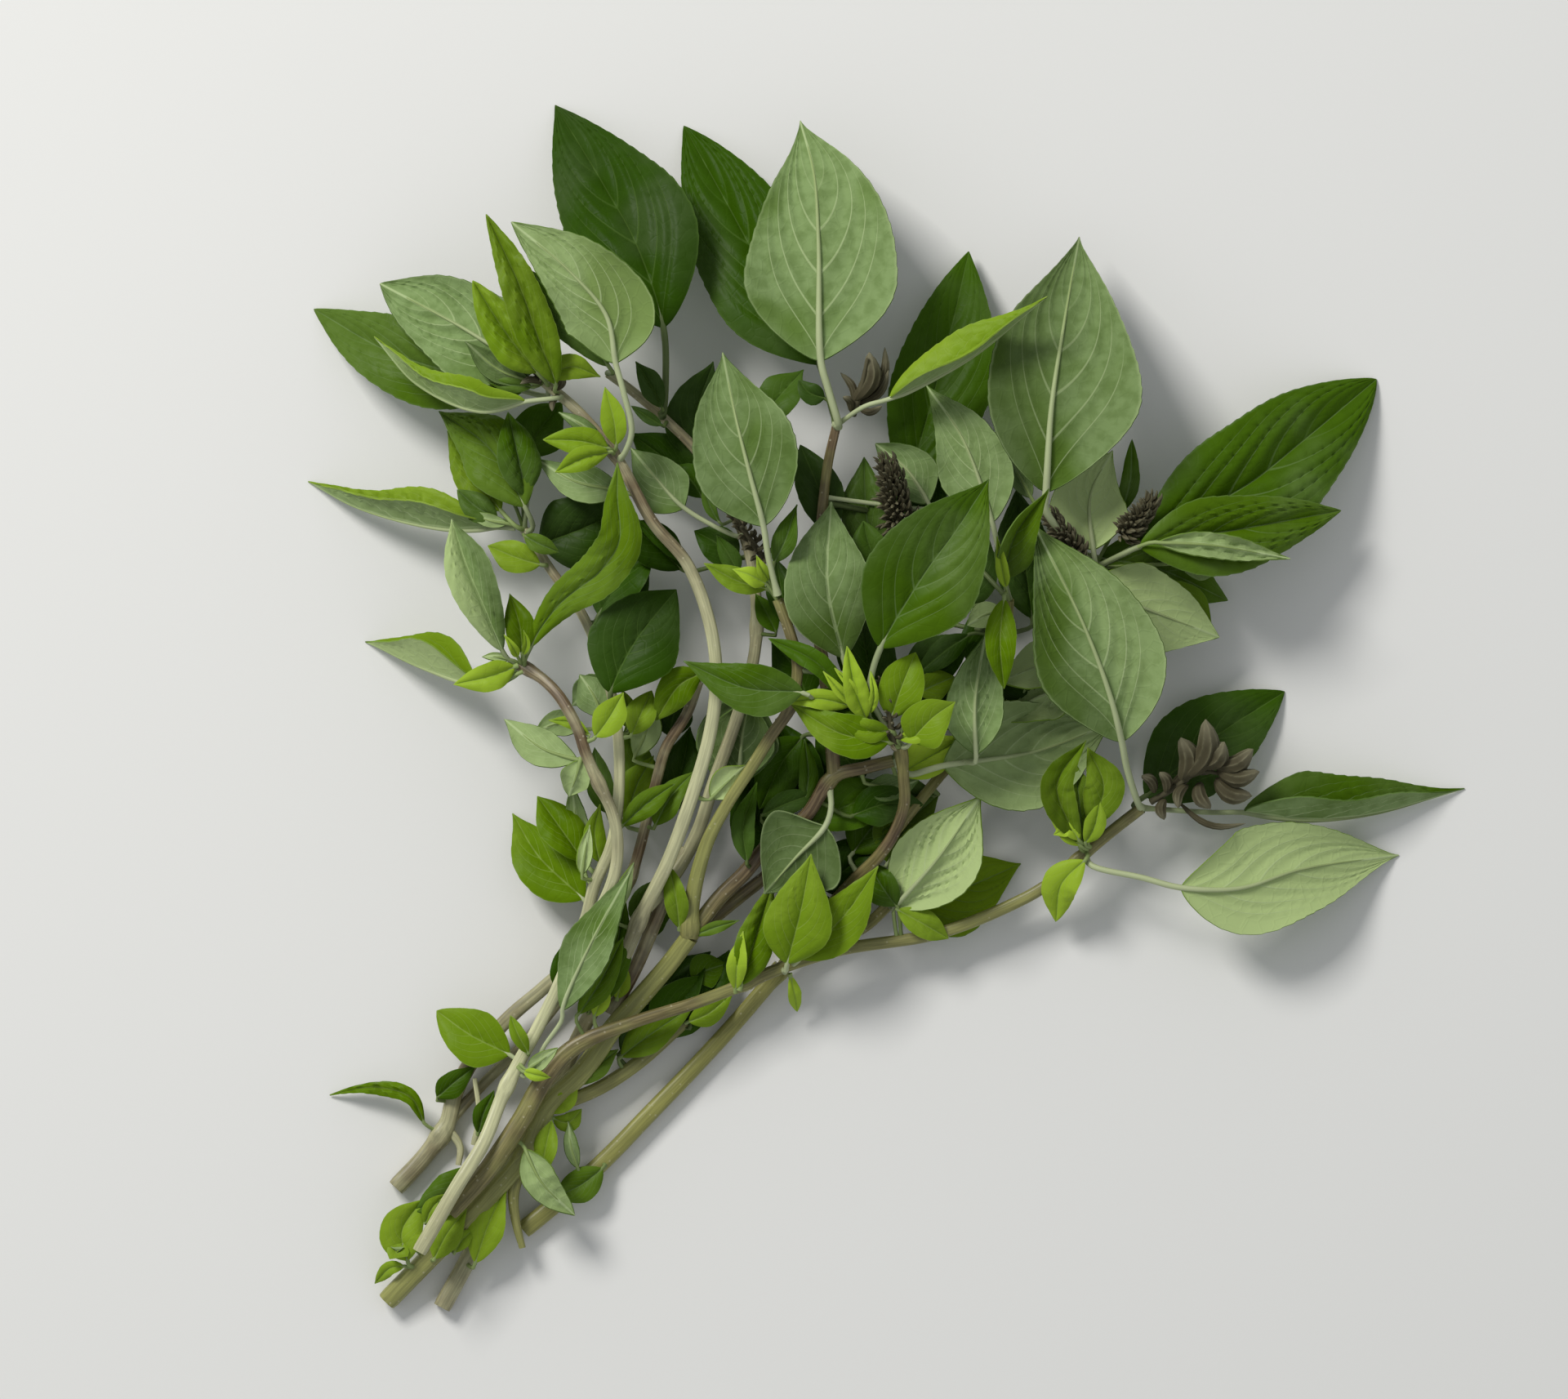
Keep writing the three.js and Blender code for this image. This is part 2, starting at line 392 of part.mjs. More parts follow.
leaf('bright_veined_leaf', BRIGHT_LEAF, [[-65.6, -44, 10]],
  [[-67, -42.2, 10], [-76.8, -33, 7], [-82.9, -23.4, 0.2]], 13);
leaf('long_lower_leaf', UNDERSIDE, [[-71.6, -68.6, 19.5]],
  [[-71.5, -66.5, 20.5], [-65, -51.5, 23.5], [-56.5, -36, 23.5]], 11,
  { roll: [155, 155], fold: -6, widest: 0.42 });
leaf('lower_left_leaf', BRIGHT_LEAF, [[-81.8, -77.8, 11.4]],
  [[-83.4, -76.6, 11.6], [-91.8, -72.4, 11.5], [-99.5, -67, 9]], 12,
  { fold: 10, widest: 0.4, tipPower: 0.8 });

// The flower spikes

spike('top_flower_spike', [[-7.4, 64.6, 25.5], [-6, 69, 28], [-4.2, 77, 31]], 6);
spike('middle_flower_spike', [[3.5, 38.3, 22], [1.5, 46, 26], [-0.1, 53.6, 30]], 8);
spike('right_flower_spike', [[42, 33, 25], [39, 37.5, 26.5], [35.9, 42, 27.5]], 6);
spike('outer_flower_spike', [[52.2, 38, 23], [55, 41.5, 25.5], [57.8, 45.5, 28]], 6);
spike('largest_flower_spike', [[58.5, -20.7, 14.2], [63.8, -17.5, 16], [69.2, -14, 18], [78.2, -14.8, 17]], 11);

export default bunch;
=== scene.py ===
# A loose bunch of cut Thai basil lying on a surface: square branching stems, leaves with their stalks, small
# leaves at the nodes and dark flower spikes. Places and sizes are in millimetres; MM turns them into metres.

import math

import bpy
import numpy as np
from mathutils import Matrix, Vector


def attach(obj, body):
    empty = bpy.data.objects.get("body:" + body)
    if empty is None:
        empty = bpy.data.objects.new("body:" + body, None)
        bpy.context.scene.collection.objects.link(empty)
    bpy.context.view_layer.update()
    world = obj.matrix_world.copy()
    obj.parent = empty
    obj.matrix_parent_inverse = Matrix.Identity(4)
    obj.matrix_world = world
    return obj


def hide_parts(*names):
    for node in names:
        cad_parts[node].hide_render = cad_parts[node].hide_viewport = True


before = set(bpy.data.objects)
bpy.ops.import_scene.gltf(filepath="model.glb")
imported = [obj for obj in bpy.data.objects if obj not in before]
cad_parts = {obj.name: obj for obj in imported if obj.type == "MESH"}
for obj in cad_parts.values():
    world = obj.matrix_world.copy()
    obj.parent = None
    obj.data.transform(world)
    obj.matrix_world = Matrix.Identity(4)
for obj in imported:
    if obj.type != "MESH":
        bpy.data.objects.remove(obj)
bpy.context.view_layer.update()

# ---- Camera, floor and lights ----
# The bunch is looked at from straight above, from far enough away that heights hardly shift. The floor is a
# plain pale board, lit by one large soft lamp from the upper left, with an even fill from all round.

MM = 0.001
VIEW_HEIGHT = 3.0
VIEW_WIDTH = 0.3456
LEAF_LEVEL = 0.025
CAMERA_PLACE = (-0.0226, 0.002, VIEW_HEIGHT)
bpy.ops.object.camera_add(location=CAMERA_PLACE, rotation=(0, 0, 0))
camera = bpy.context.object
camera.data.lens = camera.data.sensor_width * (VIEW_HEIGHT - LEAF_LEVEL) / VIEW_WIDTH
bpy.context.scene.camera = camera
bpy.context.scene.view_settings.view_transform = "Standard"


def add_node(material, kind, inputs, **choices):
    """A shader node: inputs are values or sockets by name or number, choices are its own settings."""
    node = material.node_tree.nodes.new(kind)
    for choice, value in choices.items():
        setattr(node, choice, value)
    for place, value in inputs.items():
        if isinstance(value, bpy.types.NodeSocket):
            material.node_tree.links.new(value, node.inputs[place])
        else:
            node.inputs[place].default_value = value
    return node


def new_material(name, shader_inputs):
    """A material with one Principled shader, and the shader."""
    material = bpy.data.materials.new(name)
    material.use_nodes = True
    material.node_tree.nodes.clear()
    shader = add_node(material, "ShaderNodeBsdfPrincipled", shader_inputs)
    add_node(material, "ShaderNodeOutputMaterial", {"Surface": shader.outputs["BSDF"]})
    return material, shader


bpy.ops.mesh.primitive_plane_add(size=6)
floor = bpy.context.object
floor.name = "floor"
floor_paint, _ = new_material("floor_paint", {"Base Color": (0.80, 0.80, 0.785, 1), "Roughness": 0.9})
floor.data.materials.append(floor_paint)

KEY_PLACE = Vector((-0.85, 1.0, 1.25))
KEY_ENERGY = 24
KEY_SIZE = 0.55
KEY_COLOUR = (1.0, 0.98, 0.94)
FILL_STRENGTH = 0.42
FILL_COLOUR = (0.95, 0.98, 1.0, 1)
bpy.ops.object.light_add(type="AREA", location=KEY_PLACE)
key = bpy.context.object
key.rotation_euler = (-KEY_PLACE).to_track_quat("-Z", "Y").to_euler()
key.data.size = KEY_SIZE
key.data.energy = KEY_ENERGY
key.data.color = KEY_COLOUR
room = bpy.data.worlds.new("room")
room.use_nodes = True
room.node_tree.nodes["Background"].inputs["Color"].default_value = FILL_COLOUR
room.node_tree.nodes["Background"].inputs["Strength"].default_value = FILL_STRENGTH
bpy.context.scene.world = room

# ---- Stems ----
# Basil stems are square with rounded ridges and shallow grooves between them, swollen where a pair of leaves
# grew. They are cream or olive green, flushed with purple brown, and each branches from the one that bore it.

STEM_SIDES = 16
STEM_STEP = 1.1
RIDGE_SWELL = 0.09
NODE_LENGTH = 2.2
NODE_SWELL = 0.28
CUT_END_SHRINK = 0.94
FEWEST_STEPS = 8
SPAN_SAMPLES = 24
MERGE_GAP = 0.002 * MM
BUMP_DEPTH = 0.2 * MM
FLUSH_DARK = (0.075, 0.048, 0.022, 1)
FLUSH_PALE = (0.20, 0.145, 0.075, 1)
PORE_COLOUR = (0.62, 0.58, 0.42, 1)
STEM_SMOOTH = 50


def path_through(points):
    """Close samples on a smooth curve through points, each sample's share of its length, and each point's."""
    given = np.array(points, float)
    given = np.vstack([2 * given[0] - given[1], given, 2 * given[-1] - given[-2]])
    samples = []
    for before, start, end, after in zip(given, given[1:], given[2:], given[3:]):
        gaps = [np.linalg.norm(b - a) ** 0.5 for a, b in ((before, start), (start, end), (end, after))]
        k0, k1, k2, k3 = np.cumsum([0, *gaps])
        t = np.linspace(k1, k2, SPAN_SAMPLES, endpoint=False)[:, None]
        a1 = ((k1 - t) * before + (t - k0) * start) / (k1 - k0)
        a2 = ((k2 - t) * start + (t - k1) * end) / (k2 - k1)
        a3 = ((k3 - t) * end + (t - k2) * after) / (k3 - k2)
        b1 = ((k2 - t) * a1 + (t - k0) * a2) / (k2 - k0)
        b2 = ((k3 - t) * a2 + (t - k1) * a3) / (k3 - k1)
        samples.append(((k2 - t) * b1 + (t - k1) * b2) / (k2 - k1))
    samples = np.vstack([*samples, given[-2:-1]])
    lengths = np.concatenate([[0], np.cumsum(np.linalg.norm(np.diff(samples, axis=0), axis=1))])
    return samples, lengths / lengths[-1], lengths[::SPAN_SAMPLES] / lengths[-1], lengths[-1]


def frames_along(samples, shares, at, roll):
    """The places at the shares, with the unit side and normal there, turned by roll degrees."""
    def between(values):
        return np.stack([np.interp(at, shares, column) for column in values.T], axis=1)

    places = between(samples)
    tangents = between(np.gradient(samples, shares, axis=0))
    tangents /= np.linalg.norm(tangents, axis=1, keepdims=True)
    normals = np.array([0.0, 0.0, 1.0]) - tangents * tangents[:, 2:]
    normals /= np.linalg.norm(normals, axis=1, keepdims=True)
    turn = np.radians(roll)[:, None]
    normals = normals * np.cos(turn) + np.cross(tangents, normals) * np.sin(turn)
    return places, np.cross(normals, tangents), normals


def add_grid(name, corners, marks):
    """A grid primitive with its corners put in place, and a named number at each corner for the finish."""
    rows, columns = corners.shape[:2]
    bpy.ops.object.select_all(action="DESELECT")
    bpy.ops.mesh.primitive_grid_add(x_subdivisions=columns - 1, y_subdivisions=rows - 1, size=1)
    piece = bpy.context.object
    piece.name = piece.data.name = name
    piece.data.vertices.foreach_set("co", (corners * MM).astype(np.float32).ravel())
    for mark, values in marks.items():
        layer = piece.data.attributes.new(mark, "FLOAT", "POINT")
        layer.data.foreach_set("value", np.broadcast_to(values, (rows, columns)).astype(np.float32).ravel())
    return piece


def close_skin(piece):
    """Merges the corners that meet at the seam and at the ends, and turns every face outwards."""
    bpy.ops.object.mode_set(mode="EDIT")
    bpy.ops.mesh.select_all(action="SELECT")
    bpy.ops.mesh.remove_doubles(threshold=MERGE_GAP)
    bpy.ops.mesh.normals_make_consistent(inside=False)
    bpy.ops.object.mode_set(mode="OBJECT")
    return piece


def add_tube(name, path, at, radii, section, roll, marks, sink=0.0):
    """A closed tube of that section along a path, sunk below it. Each mark gives a number for every ring."""
    samples, shares, _, _ = path
    places, sides, normals = frames_along(samples, shares, at, roll)
    places = places - normals * np.broadcast_to(sink, len(at))[:, None]
    angles = np.linspace(0, 2 * math.pi, len(section) + 1)
    reach = np.append(section, section[0])[None, :] * radii[:, None]
    corners = (places[:, None] + sides[:, None] * (reach * np.cos(angles))[..., None]
               + normals[:, None] * (reach * np.sin(angles))[..., None])
    corners = np.concatenate([np.broadcast_to(places[:1, None], corners[:1].shape), corners,
                              np.broadcast_to(places[-1:, None], corners[:1].shape)])
    around = np.concatenate([reach[:1], reach, reach[-1:]])
    ring_marks = {mark: np.concatenate([values[:1], values, values[-1:]])[:, None]
                  for mark, values in marks.items()}
    ring_marks["grain_x"] = around * np.cos(angles)
    ring_marks["grain_y"] = around * np.sin(angles)
    return close_skin(add_grid(name, corners, ring_marks))


def join_pieces(name, parts):
    """Joins the parts into the first one, which takes the name."""
    bpy.ops.object.select_all(action="DESELECT")
    for part in parts:
        part.select_set(True)
    bpy.context.view_layer.objects.active = parts[0]
    if len(parts) > 1:
        bpy.ops.object.join()
    parts[0].name = parts[0].data.name = name
    return parts[0]


def smooth_piece(piece, angle):
    """Shades the piece smooth, apart from edges that are sharper than angle degrees."""
    bpy.ops.object.select_all(action="DESELECT")
    piece.select_set(True)
    bpy.context.view_layer.objects.active = piece
    bpy.ops.object.shade_smooth_by_angle(angle=math.radians(angle))


def declare(piece, node=None):
    """The piece rides on the bunch and stands in for its CAD node if it has one."""
    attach(piece, "root")
    if node:
        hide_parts(node)


def mark_value(material, mark):
    return add_node(material, "ShaderNodeAttribute", {}, attribute_name=mark).outputs["Fac"]


def number(material, operation, *values):
    return add_node(material, "ShaderNodeMath", dict(enumerate(values)), operation=operation).outputs[0]


def fade(material, value, start, end):
    """Rises smoothly from 0 where value is start to 1 where it is end."""
    inputs = {"Value": value, "From Min": start, "From Max": end}
    return add_node(material, "ShaderNodeMapRange", inputs, interpolation_type="SMOOTHSTEP").outputs["Result"]


def mix(material, share, first, second):
    return add_node(material, "ShaderNodeMix", {0: share, 6: first, 7: second}, data_type="RGBA").outputs[2]


def own_place(material):
    return add_node(material, "ShaderNodeTexCoord", {}).outputs["Object"]


def noise(material, place, scale, detail):
    inputs = {"Vector": place, "Scale": scale, "Detail": detail}
    return add_node(material, "ShaderNodeTexNoise", inputs).outputs["Fac"]


def end_finish(material, shader, colour, height, strength):
    """Gives the shader its colour, and a bump of that height and strength."""
    material.node_tree.links.new(colour, shader.inputs["Base Color"])
    inputs = {"Height": height, "Strength": strength, "Distance": BUMP_DEPTH}
    bump = add_node(material, "ShaderNodeBump", inputs)
    material.node_tree.links.new(bump.outputs["Normal"], shader.inputs["Normal"])
    return material


def stem_finish(name, skin):
    """Skin colour with streaks along the stem, flushed where the mark says, and a few pale pores."""
    material, shader = new_material(name, {"Roughness": 0.38, "Specular IOR Level": 0.45})
    grain = [mark_value(material, mark) for mark in ("grain_x", "grain_y", "grain_z")]
    along_grain = add_node(material, "ShaderNodeCombineXYZ", dict(enumerate(grain))).outputs[0]
    streaks = noise(material, along_grain, 2.2, 5)
    place = own_place(material)
    patches = noise(material, place, 90, 3)
    pores = add_node(material, "ShaderNodeTexVoronoi", {"Vector": place, "Scale": 520})
    streak = fade(material, streaks, 0.35, 0.68)
    pale_skin = tuple(1.14 * c for c in skin) + (1,)
    dark_skin = tuple(0.84 * c for c in skin) + (1,)
    colour = mix(material, streak, dark_skin, pale_skin)
    patchy = number(material, "MULTIPLY", fade(material, patches, 0.3, 0.65), 0.7)
    flush = number(material, "MULTIPLY", mark_value(material, "flush"), number(material, "ADD", patchy, 0.55))
    flushed = mix(material, streak, FLUSH_DARK, FLUSH_PALE)
    colour = mix(material, flush, colour, flushed)
    pore = number(material, "MULTIPLY", fade(material, pores.outputs["Distance"], 0.16, 0.08), 0.35)
    colour = mix(material, pore, colour, PORE_COLOUR)
    return end_finish(material, shader, colour, streaks, 0.4)


stem_finishes = {
    "pale_stem": stem_finish("pale_stem_skin", (0.56, 0.565, 0.33)),
    "olive_stem": stem_finish("olive_stem_skin", (0.27, 0.27, 0.07)),
    "brown_stem": stem_finish("brown_stem_skin", (0.29, 0.30, 0.09)),
}
stem_places = []


def stem(name, slot, *branches):
    """Each branch is its centre line, its widths and its flush along it, and where its swollen nodes are."""
    ridges = 1 + RIDGE_SWELL * np.cos(4 * (np.arange(STEM_SIDES) * 2 * math.pi / STEM_SIDES - math.pi / 4))
    parts = []
    for points, widths, flush, nodes in branches:
        path = path_through(points)
        samples, shares, _, length = path
        stem_places.append(samples)
        at = np.linspace(0, 1, max(FEWEST_STEPS, round(length / STEM_STEP)))
        radii = np.interp(at, np.linspace(0, 1, len(widths)), widths) / 2
        for node in nodes:
            radii *= 1 + NODE_SWELL * np.exp(-((at - node) * length / NODE_LENGTH) ** 2)
        radii[0] *= CUT_END_SHRINK
        marks = {"flush": np.interp(at, np.linspace(0, 1, len(flush)), flush), "grain_z": at * length * 0.05}
        parts.append(add_tube(name, path, at, radii, ridges, np.zeros(len(at)), marks))
    piece = join_pieces(name + "_skin", parts)
    piece.data.materials.clear()
    piece.data.materials.append(stem_finishes[slot])
    smooth_piece(piece, STEM_SMOOTH)
    declare(piece, name)


stem("long_pale_stem", "pale_stem",
     ([(-98.6, -133, 2.2), (-91.3, -119.5, 2.2), (-77.5, -92, 2.2), (-72, -81.5, 2.7), (-68, -72.5, 4.6),
      (-63, -63.5, 9.5), (-58.5, -56, 13), (-54, -45.5, 17), (-48.5, -34.5, 20), (-44.5, -24, 23),
      (-39, -6, 28), (-37.5, 7, 30.5), (-39, 19, 32), (-44, 32, 32.5), (-51.5, 41, 32.5), (-59, 54.5, 31),
      (-67.5, 65, 29), (-75.5, 72, 27)], (4.4, 3.8, 3.4, 3.2, 2.9, 2.5),
      (0.5, 0.55, 0.55, 0.55, 0.5, 0.15, 0.0, 0.1, 0.75, 0.8, 0.5), (0.42, 0.91)),
     ([(-53, -44, 16), (-47, -37, 14.5), (-42, -28, 14.5), (-38, -16, 17), (-33, -2, 19), (-29, 13, 20),
      (-29, 27, 20), (-31, 37, 20), (-36, 48, 20), (-42, 57, 20), (-49, 64, 20.5), (-56, 70, 21),
      (-61.5, 74, 22)], (3.4, 2.2), (0.3, 0.45, 0.6, 0.8), (0.5,)),
     ([(-44, -31, 14.4), (-47.6, -38.6, 13.6), (-51.2, -47.4, 11.8), (-55.6, -57.6, 9.8), (-61, -67.5, 7.5)],
      (3, 3.4, 3.4), (0.5, 0.8, 0.8), ()))
stem("lower_left_stem", "pale_stem",
     ([(-108.8, -106.4, 2.2), (-102, -99, 2.2), (-97.5, -92.5, 2.6), (-95.5, -85, 3.5), (-91, -77, 5),
      (-83.5, -68.5, 6.5), (-76, -62, 8), (-69.5, -55.5, 10), (-66.5, -47, 12.5), (-64.5, -39, 15),
      (-61, -31, 17.5), (-59.3, -22, 19.5), (-59.3, -5, 21.5), (-62, 8, 21.5), (-67, 20.5, 21),
      (-74, 30.5, 19.5), (-80, 39.5, 18)], (4.4, 3.8, 3.1, 2.7, 2.5, 2.2),
      (0.6, 0.6, 0.7, 0.45, 0.3, 0.15, 0.15, 0.3, 0.7, 0.6), (0.09, 0.43, 0.98)),
     ([(-97.5, -92.5, 2.6), (-90, -84, 2.3), (-80, -74, 2.5), (-70.5, -62, 4.5), (-62, -47, 9),
      (-57, -38.5, 12), (-52, -21, 16), (-50.5, -14.8, 17), (-48.7, -8.7, 18), (-44, -1, 19),
      (-41.5, 6, 19.5)], (2.6, 2.6), (0.6, 0.8, 0.9), (0.6,)),
     ([(-97.3, -93.2, 3), (-94.5, -97.2, 3.2), (-94.9, -101.4, 3.4)], (2.2, 1.4), (0.3, 0.4), ()),
     ([(-91.4, -96.7, 4.6), (-90.2, -90.5, 6.4), (-91.2, -82, 6.6)], (1.6, 1.1), (0.1, 0.1), ()))
stem("crooked_pale_stem", "pale_stem",
     ([(-103.2, -120, 16.8), (-94.5, -105, 18.1), (-89, -96, 16.5), (-85, -86, 14.6), (-82, -79.7, 14.6),
      (-77.5, -71.5, 15), (-73, -62.5, 15.6), (-69.5, -54.5, 16.6), (-65.5, -48, 18.2), (-62.5, -43, 20),
      (-60, -36.5, 22), (-59.3, -29.5, 24), (-60.4, -23, 25.5), (-63.5, -16.3, 27), (-66.3, -9.8, 27.5),
      (-68, -4.6, 27), (-69.9, -0.8, 26.2), (-72.5, 3.2, 25), (-75.7, 6.4, 23.5), (-80.6, 9.6, 21.5)],
      (3.6, 3.2, 3, 2.8, 2.7), (0.35, 0.15, 0.0, 0.0, 0.0, 0.15, 0.6, 0.9, 0.7), (0.28, 0.78, 0.99)))
stem("middle_trunk", "brown_stem",
     ([(-110.7, -131.5, 2.5), (-98.8, -119.3, 5.9), (-89.4, -109.6, 7.9), (-80.2, -98.6, 8.1),
      (-75.7, -89, 8.1), (-66.7, -79.7, 8.6), (-60.4, -70.7, 8.8), (-54, -63.5, 9.6), (-48, -56.5, 11),
      (-43.5, -50.5, 13)], (5, 5, 5, 4.3), (0.1, 0.1, 0.0, 0.0, 0.1), (0.42,)),
     ([(-81, -101, 7.5), (-82.6, -108, 7.3), (-82, -114, 7), (-80.6, -119.6, 6.6)], (3.4, 1.6), (0.4, 0.2),
      ()),
     ([(-43.5, -50.5, 13), (-43, -43, 15), (-39.8, -30.2, 20), (-35.2, -21.2, 23.3), (-29.8, -13, 26),
      (-25.3, -5.8, 28.5), (-21.6, -0.4, 30), (-20, 5, 30.5), (-19.7, 10.4, 31), (-21.6, 17.6, 31.5),
      (-24, 24, 32)], (4.2, 3, 2.8, 2.6), (0.3, 0.0, 0.1, 0.3, 0.7, 0.7, 0.4), (0.03, 0.72)),
     ([(-43.5, -50.5, 13), (-37, -42, 12.5), (-31.5, -36.5, 13), (-25.5, -29.5, 14.5), (-18, -24, 16.5),
      (-11.5, -15, 19), (-4.5, -13, 20), (1.5, -11.5, 20.5)], (4, 3.4, 3), (0.5, 0.8, 0.9, 0.6), (0.75,)),
     ([(-42, -49.5, 9), (-34, -43, 8.5), (-27, -37.5, 9), (-20, -32, 10)], (3.4, 3), (0.6, 0.8), ()),
     ([(-75.7, -89, 8.1), (-63.6, -84.2, 5.5), (-55, -78.6, 4.4), (-45.3, -70, 3.2), (-37, -63.2, 2.4)],
      (3.4, 3.4), (0.3, 0.2, 0.3), ()),
     ([(-11.5, -15, 19), (-13, 3, 21), (-15.3, 21, 22), (-14.5, 39, 23), (-13, 53.5, 24), (-11, 62.5, 25)],
      (3.4, 2.2), (0.8, 0.9, 0.9), (0.5,)))
stem("right_purple_stem", "brown_stem",
     ([(-96.6, -111.5, 12.4), (-89.2, -103.4, 13.2), (-81, -91.5, 13.4), (-75.6, -82, 14.2), (-69.2, -75, 15),
      (-56, -69.4, 15.2), (-42.5, -65.2, 13.8), (-33.5, -61.8, 12), (-22.5, -57.2, 10.6), (-10, -53.4, 9.4),
      (11.6, -49.8, 8.6), (29.6, -42.6, 9), (36.8, -38.3, 9.6), (43.6, -32.5, 10.8), (49.5, -27.5, 12),
      (56.5, -22, 13.5)], (4.4, 4.8, 4.5, 3, 3, 3, 2.9, 2.9, 2.8, 2.8),
      (0.5, 0.6, 0.7, 0.6, 0.4, 0.3, 0.2, 0.4, 0.7), (0.47, 0.9)))
stem("olive_trunk", "olive_stem",
     ([(-80.5, -115.8, 2.2), (-70.3, -107.4, 2.2), (-62, -99.8, 2.2), (-52.6, -90.1, 2.2), (-42, -79.1, 2.3),
      (-33.2, -69.5, 3), (-23, -57.5, 4.4)], (4.4, 4, 3.8), (0.1, 0.05, 0.1, 0.15), (0.99,)),
     ([(-23, -57.5, 4.4), (-14.4, -52.6, 3.6), (-5, -48.6, 3.2), (1.2, -43, 4)], (3.4, 2.6), (0.2, 0.3), ()),
     ([(-23, -57.5, 4.4), (-14, -46, 6.5), (-7.2, -38.2, 11), (-1.8, -32.8, 15), (1.8, -27.4, 18.5),
      (3.9, -21.2, 22.5), (3.7, -14.8, 26.2), (3.1, -8.5, 28.5)], (3.4, 2.6), (0.3, 0.8, 0.85, 0.6), (0.97,)),
     ([(1.8, -27.4, 18.5), (11, -16, 13), (20, -5, 12), (26, 10, 17), (27, 24, 22)], (2.6, 2.6), (0.4, 0.2),
      ()),
     ([(15, -11, 12.5), (27, -4, 7), (38.5, 3, 8), (43, 18, 13), (46, 31, 18)], (2.6, 2.6), (0.4, 0.2), ()))
all_stem_places = np.vstack(stem_places)

# ---- How the leaves are made ----
# A leaf is a thin blade, folded a little along its midrib and puffed up between its side veins, with tiny
# teeth, on a rounded stalk that runs on beneath the blade as the midrib. The underside is paler and duller.

CORNER_GAP = 0.8
BLADE_SKIN = 0.32
VEIN_SPACING = 0.165
BLADE_ROUNDNESS = 0.8
FULL_RELIEF_LENGTH = 40
TOOTH_GAP = 3.2
TOOTH_DEPTH = 0.28
FOOT_SPREAD = 0.35
EDGE_DRIFT = 0.035
PUFF_HEIGHT = 0.62
BELLY = 0.06
FLOOR_GAP = 0.02
NEAR_STEM = 2.3
STALK_STEP = 1.3
STALK_RADIUS = 0.36
STALK_PER_WIDTH = 0.014
STALK_SWELL = 0.45
STALK_SWELL_LENGTH = 1.6
RIB_PROUD = 0.14
WIDE_LEAF = 10
LEAF_SMOOTH = 55
SPOT_COLOUR = (0.035, 0.03, 0.015, 1)
STALK_GREEN = (0.17, 0.25, 0.05, 1)
STALK_PALE = (0.31, 0.41, 0.14, 1)
STALK_CREAM = (0.62, 0.66, 0.44, 1)
# The dark green of painted shade on stalks.
STALK_PAINTED_SHADE = (0.075, 0.115, 0.025, 1)
FACE_DOWN = (180, 180)
FACE_DOWN_FOLD = -6
FACE_UP_FOLD = 8
STALK_SHADE = {"dark_leaf": 0.9, "green_leaf": 0.5, "bright_leaf": 0.1, "leaf_underside": 0.1}


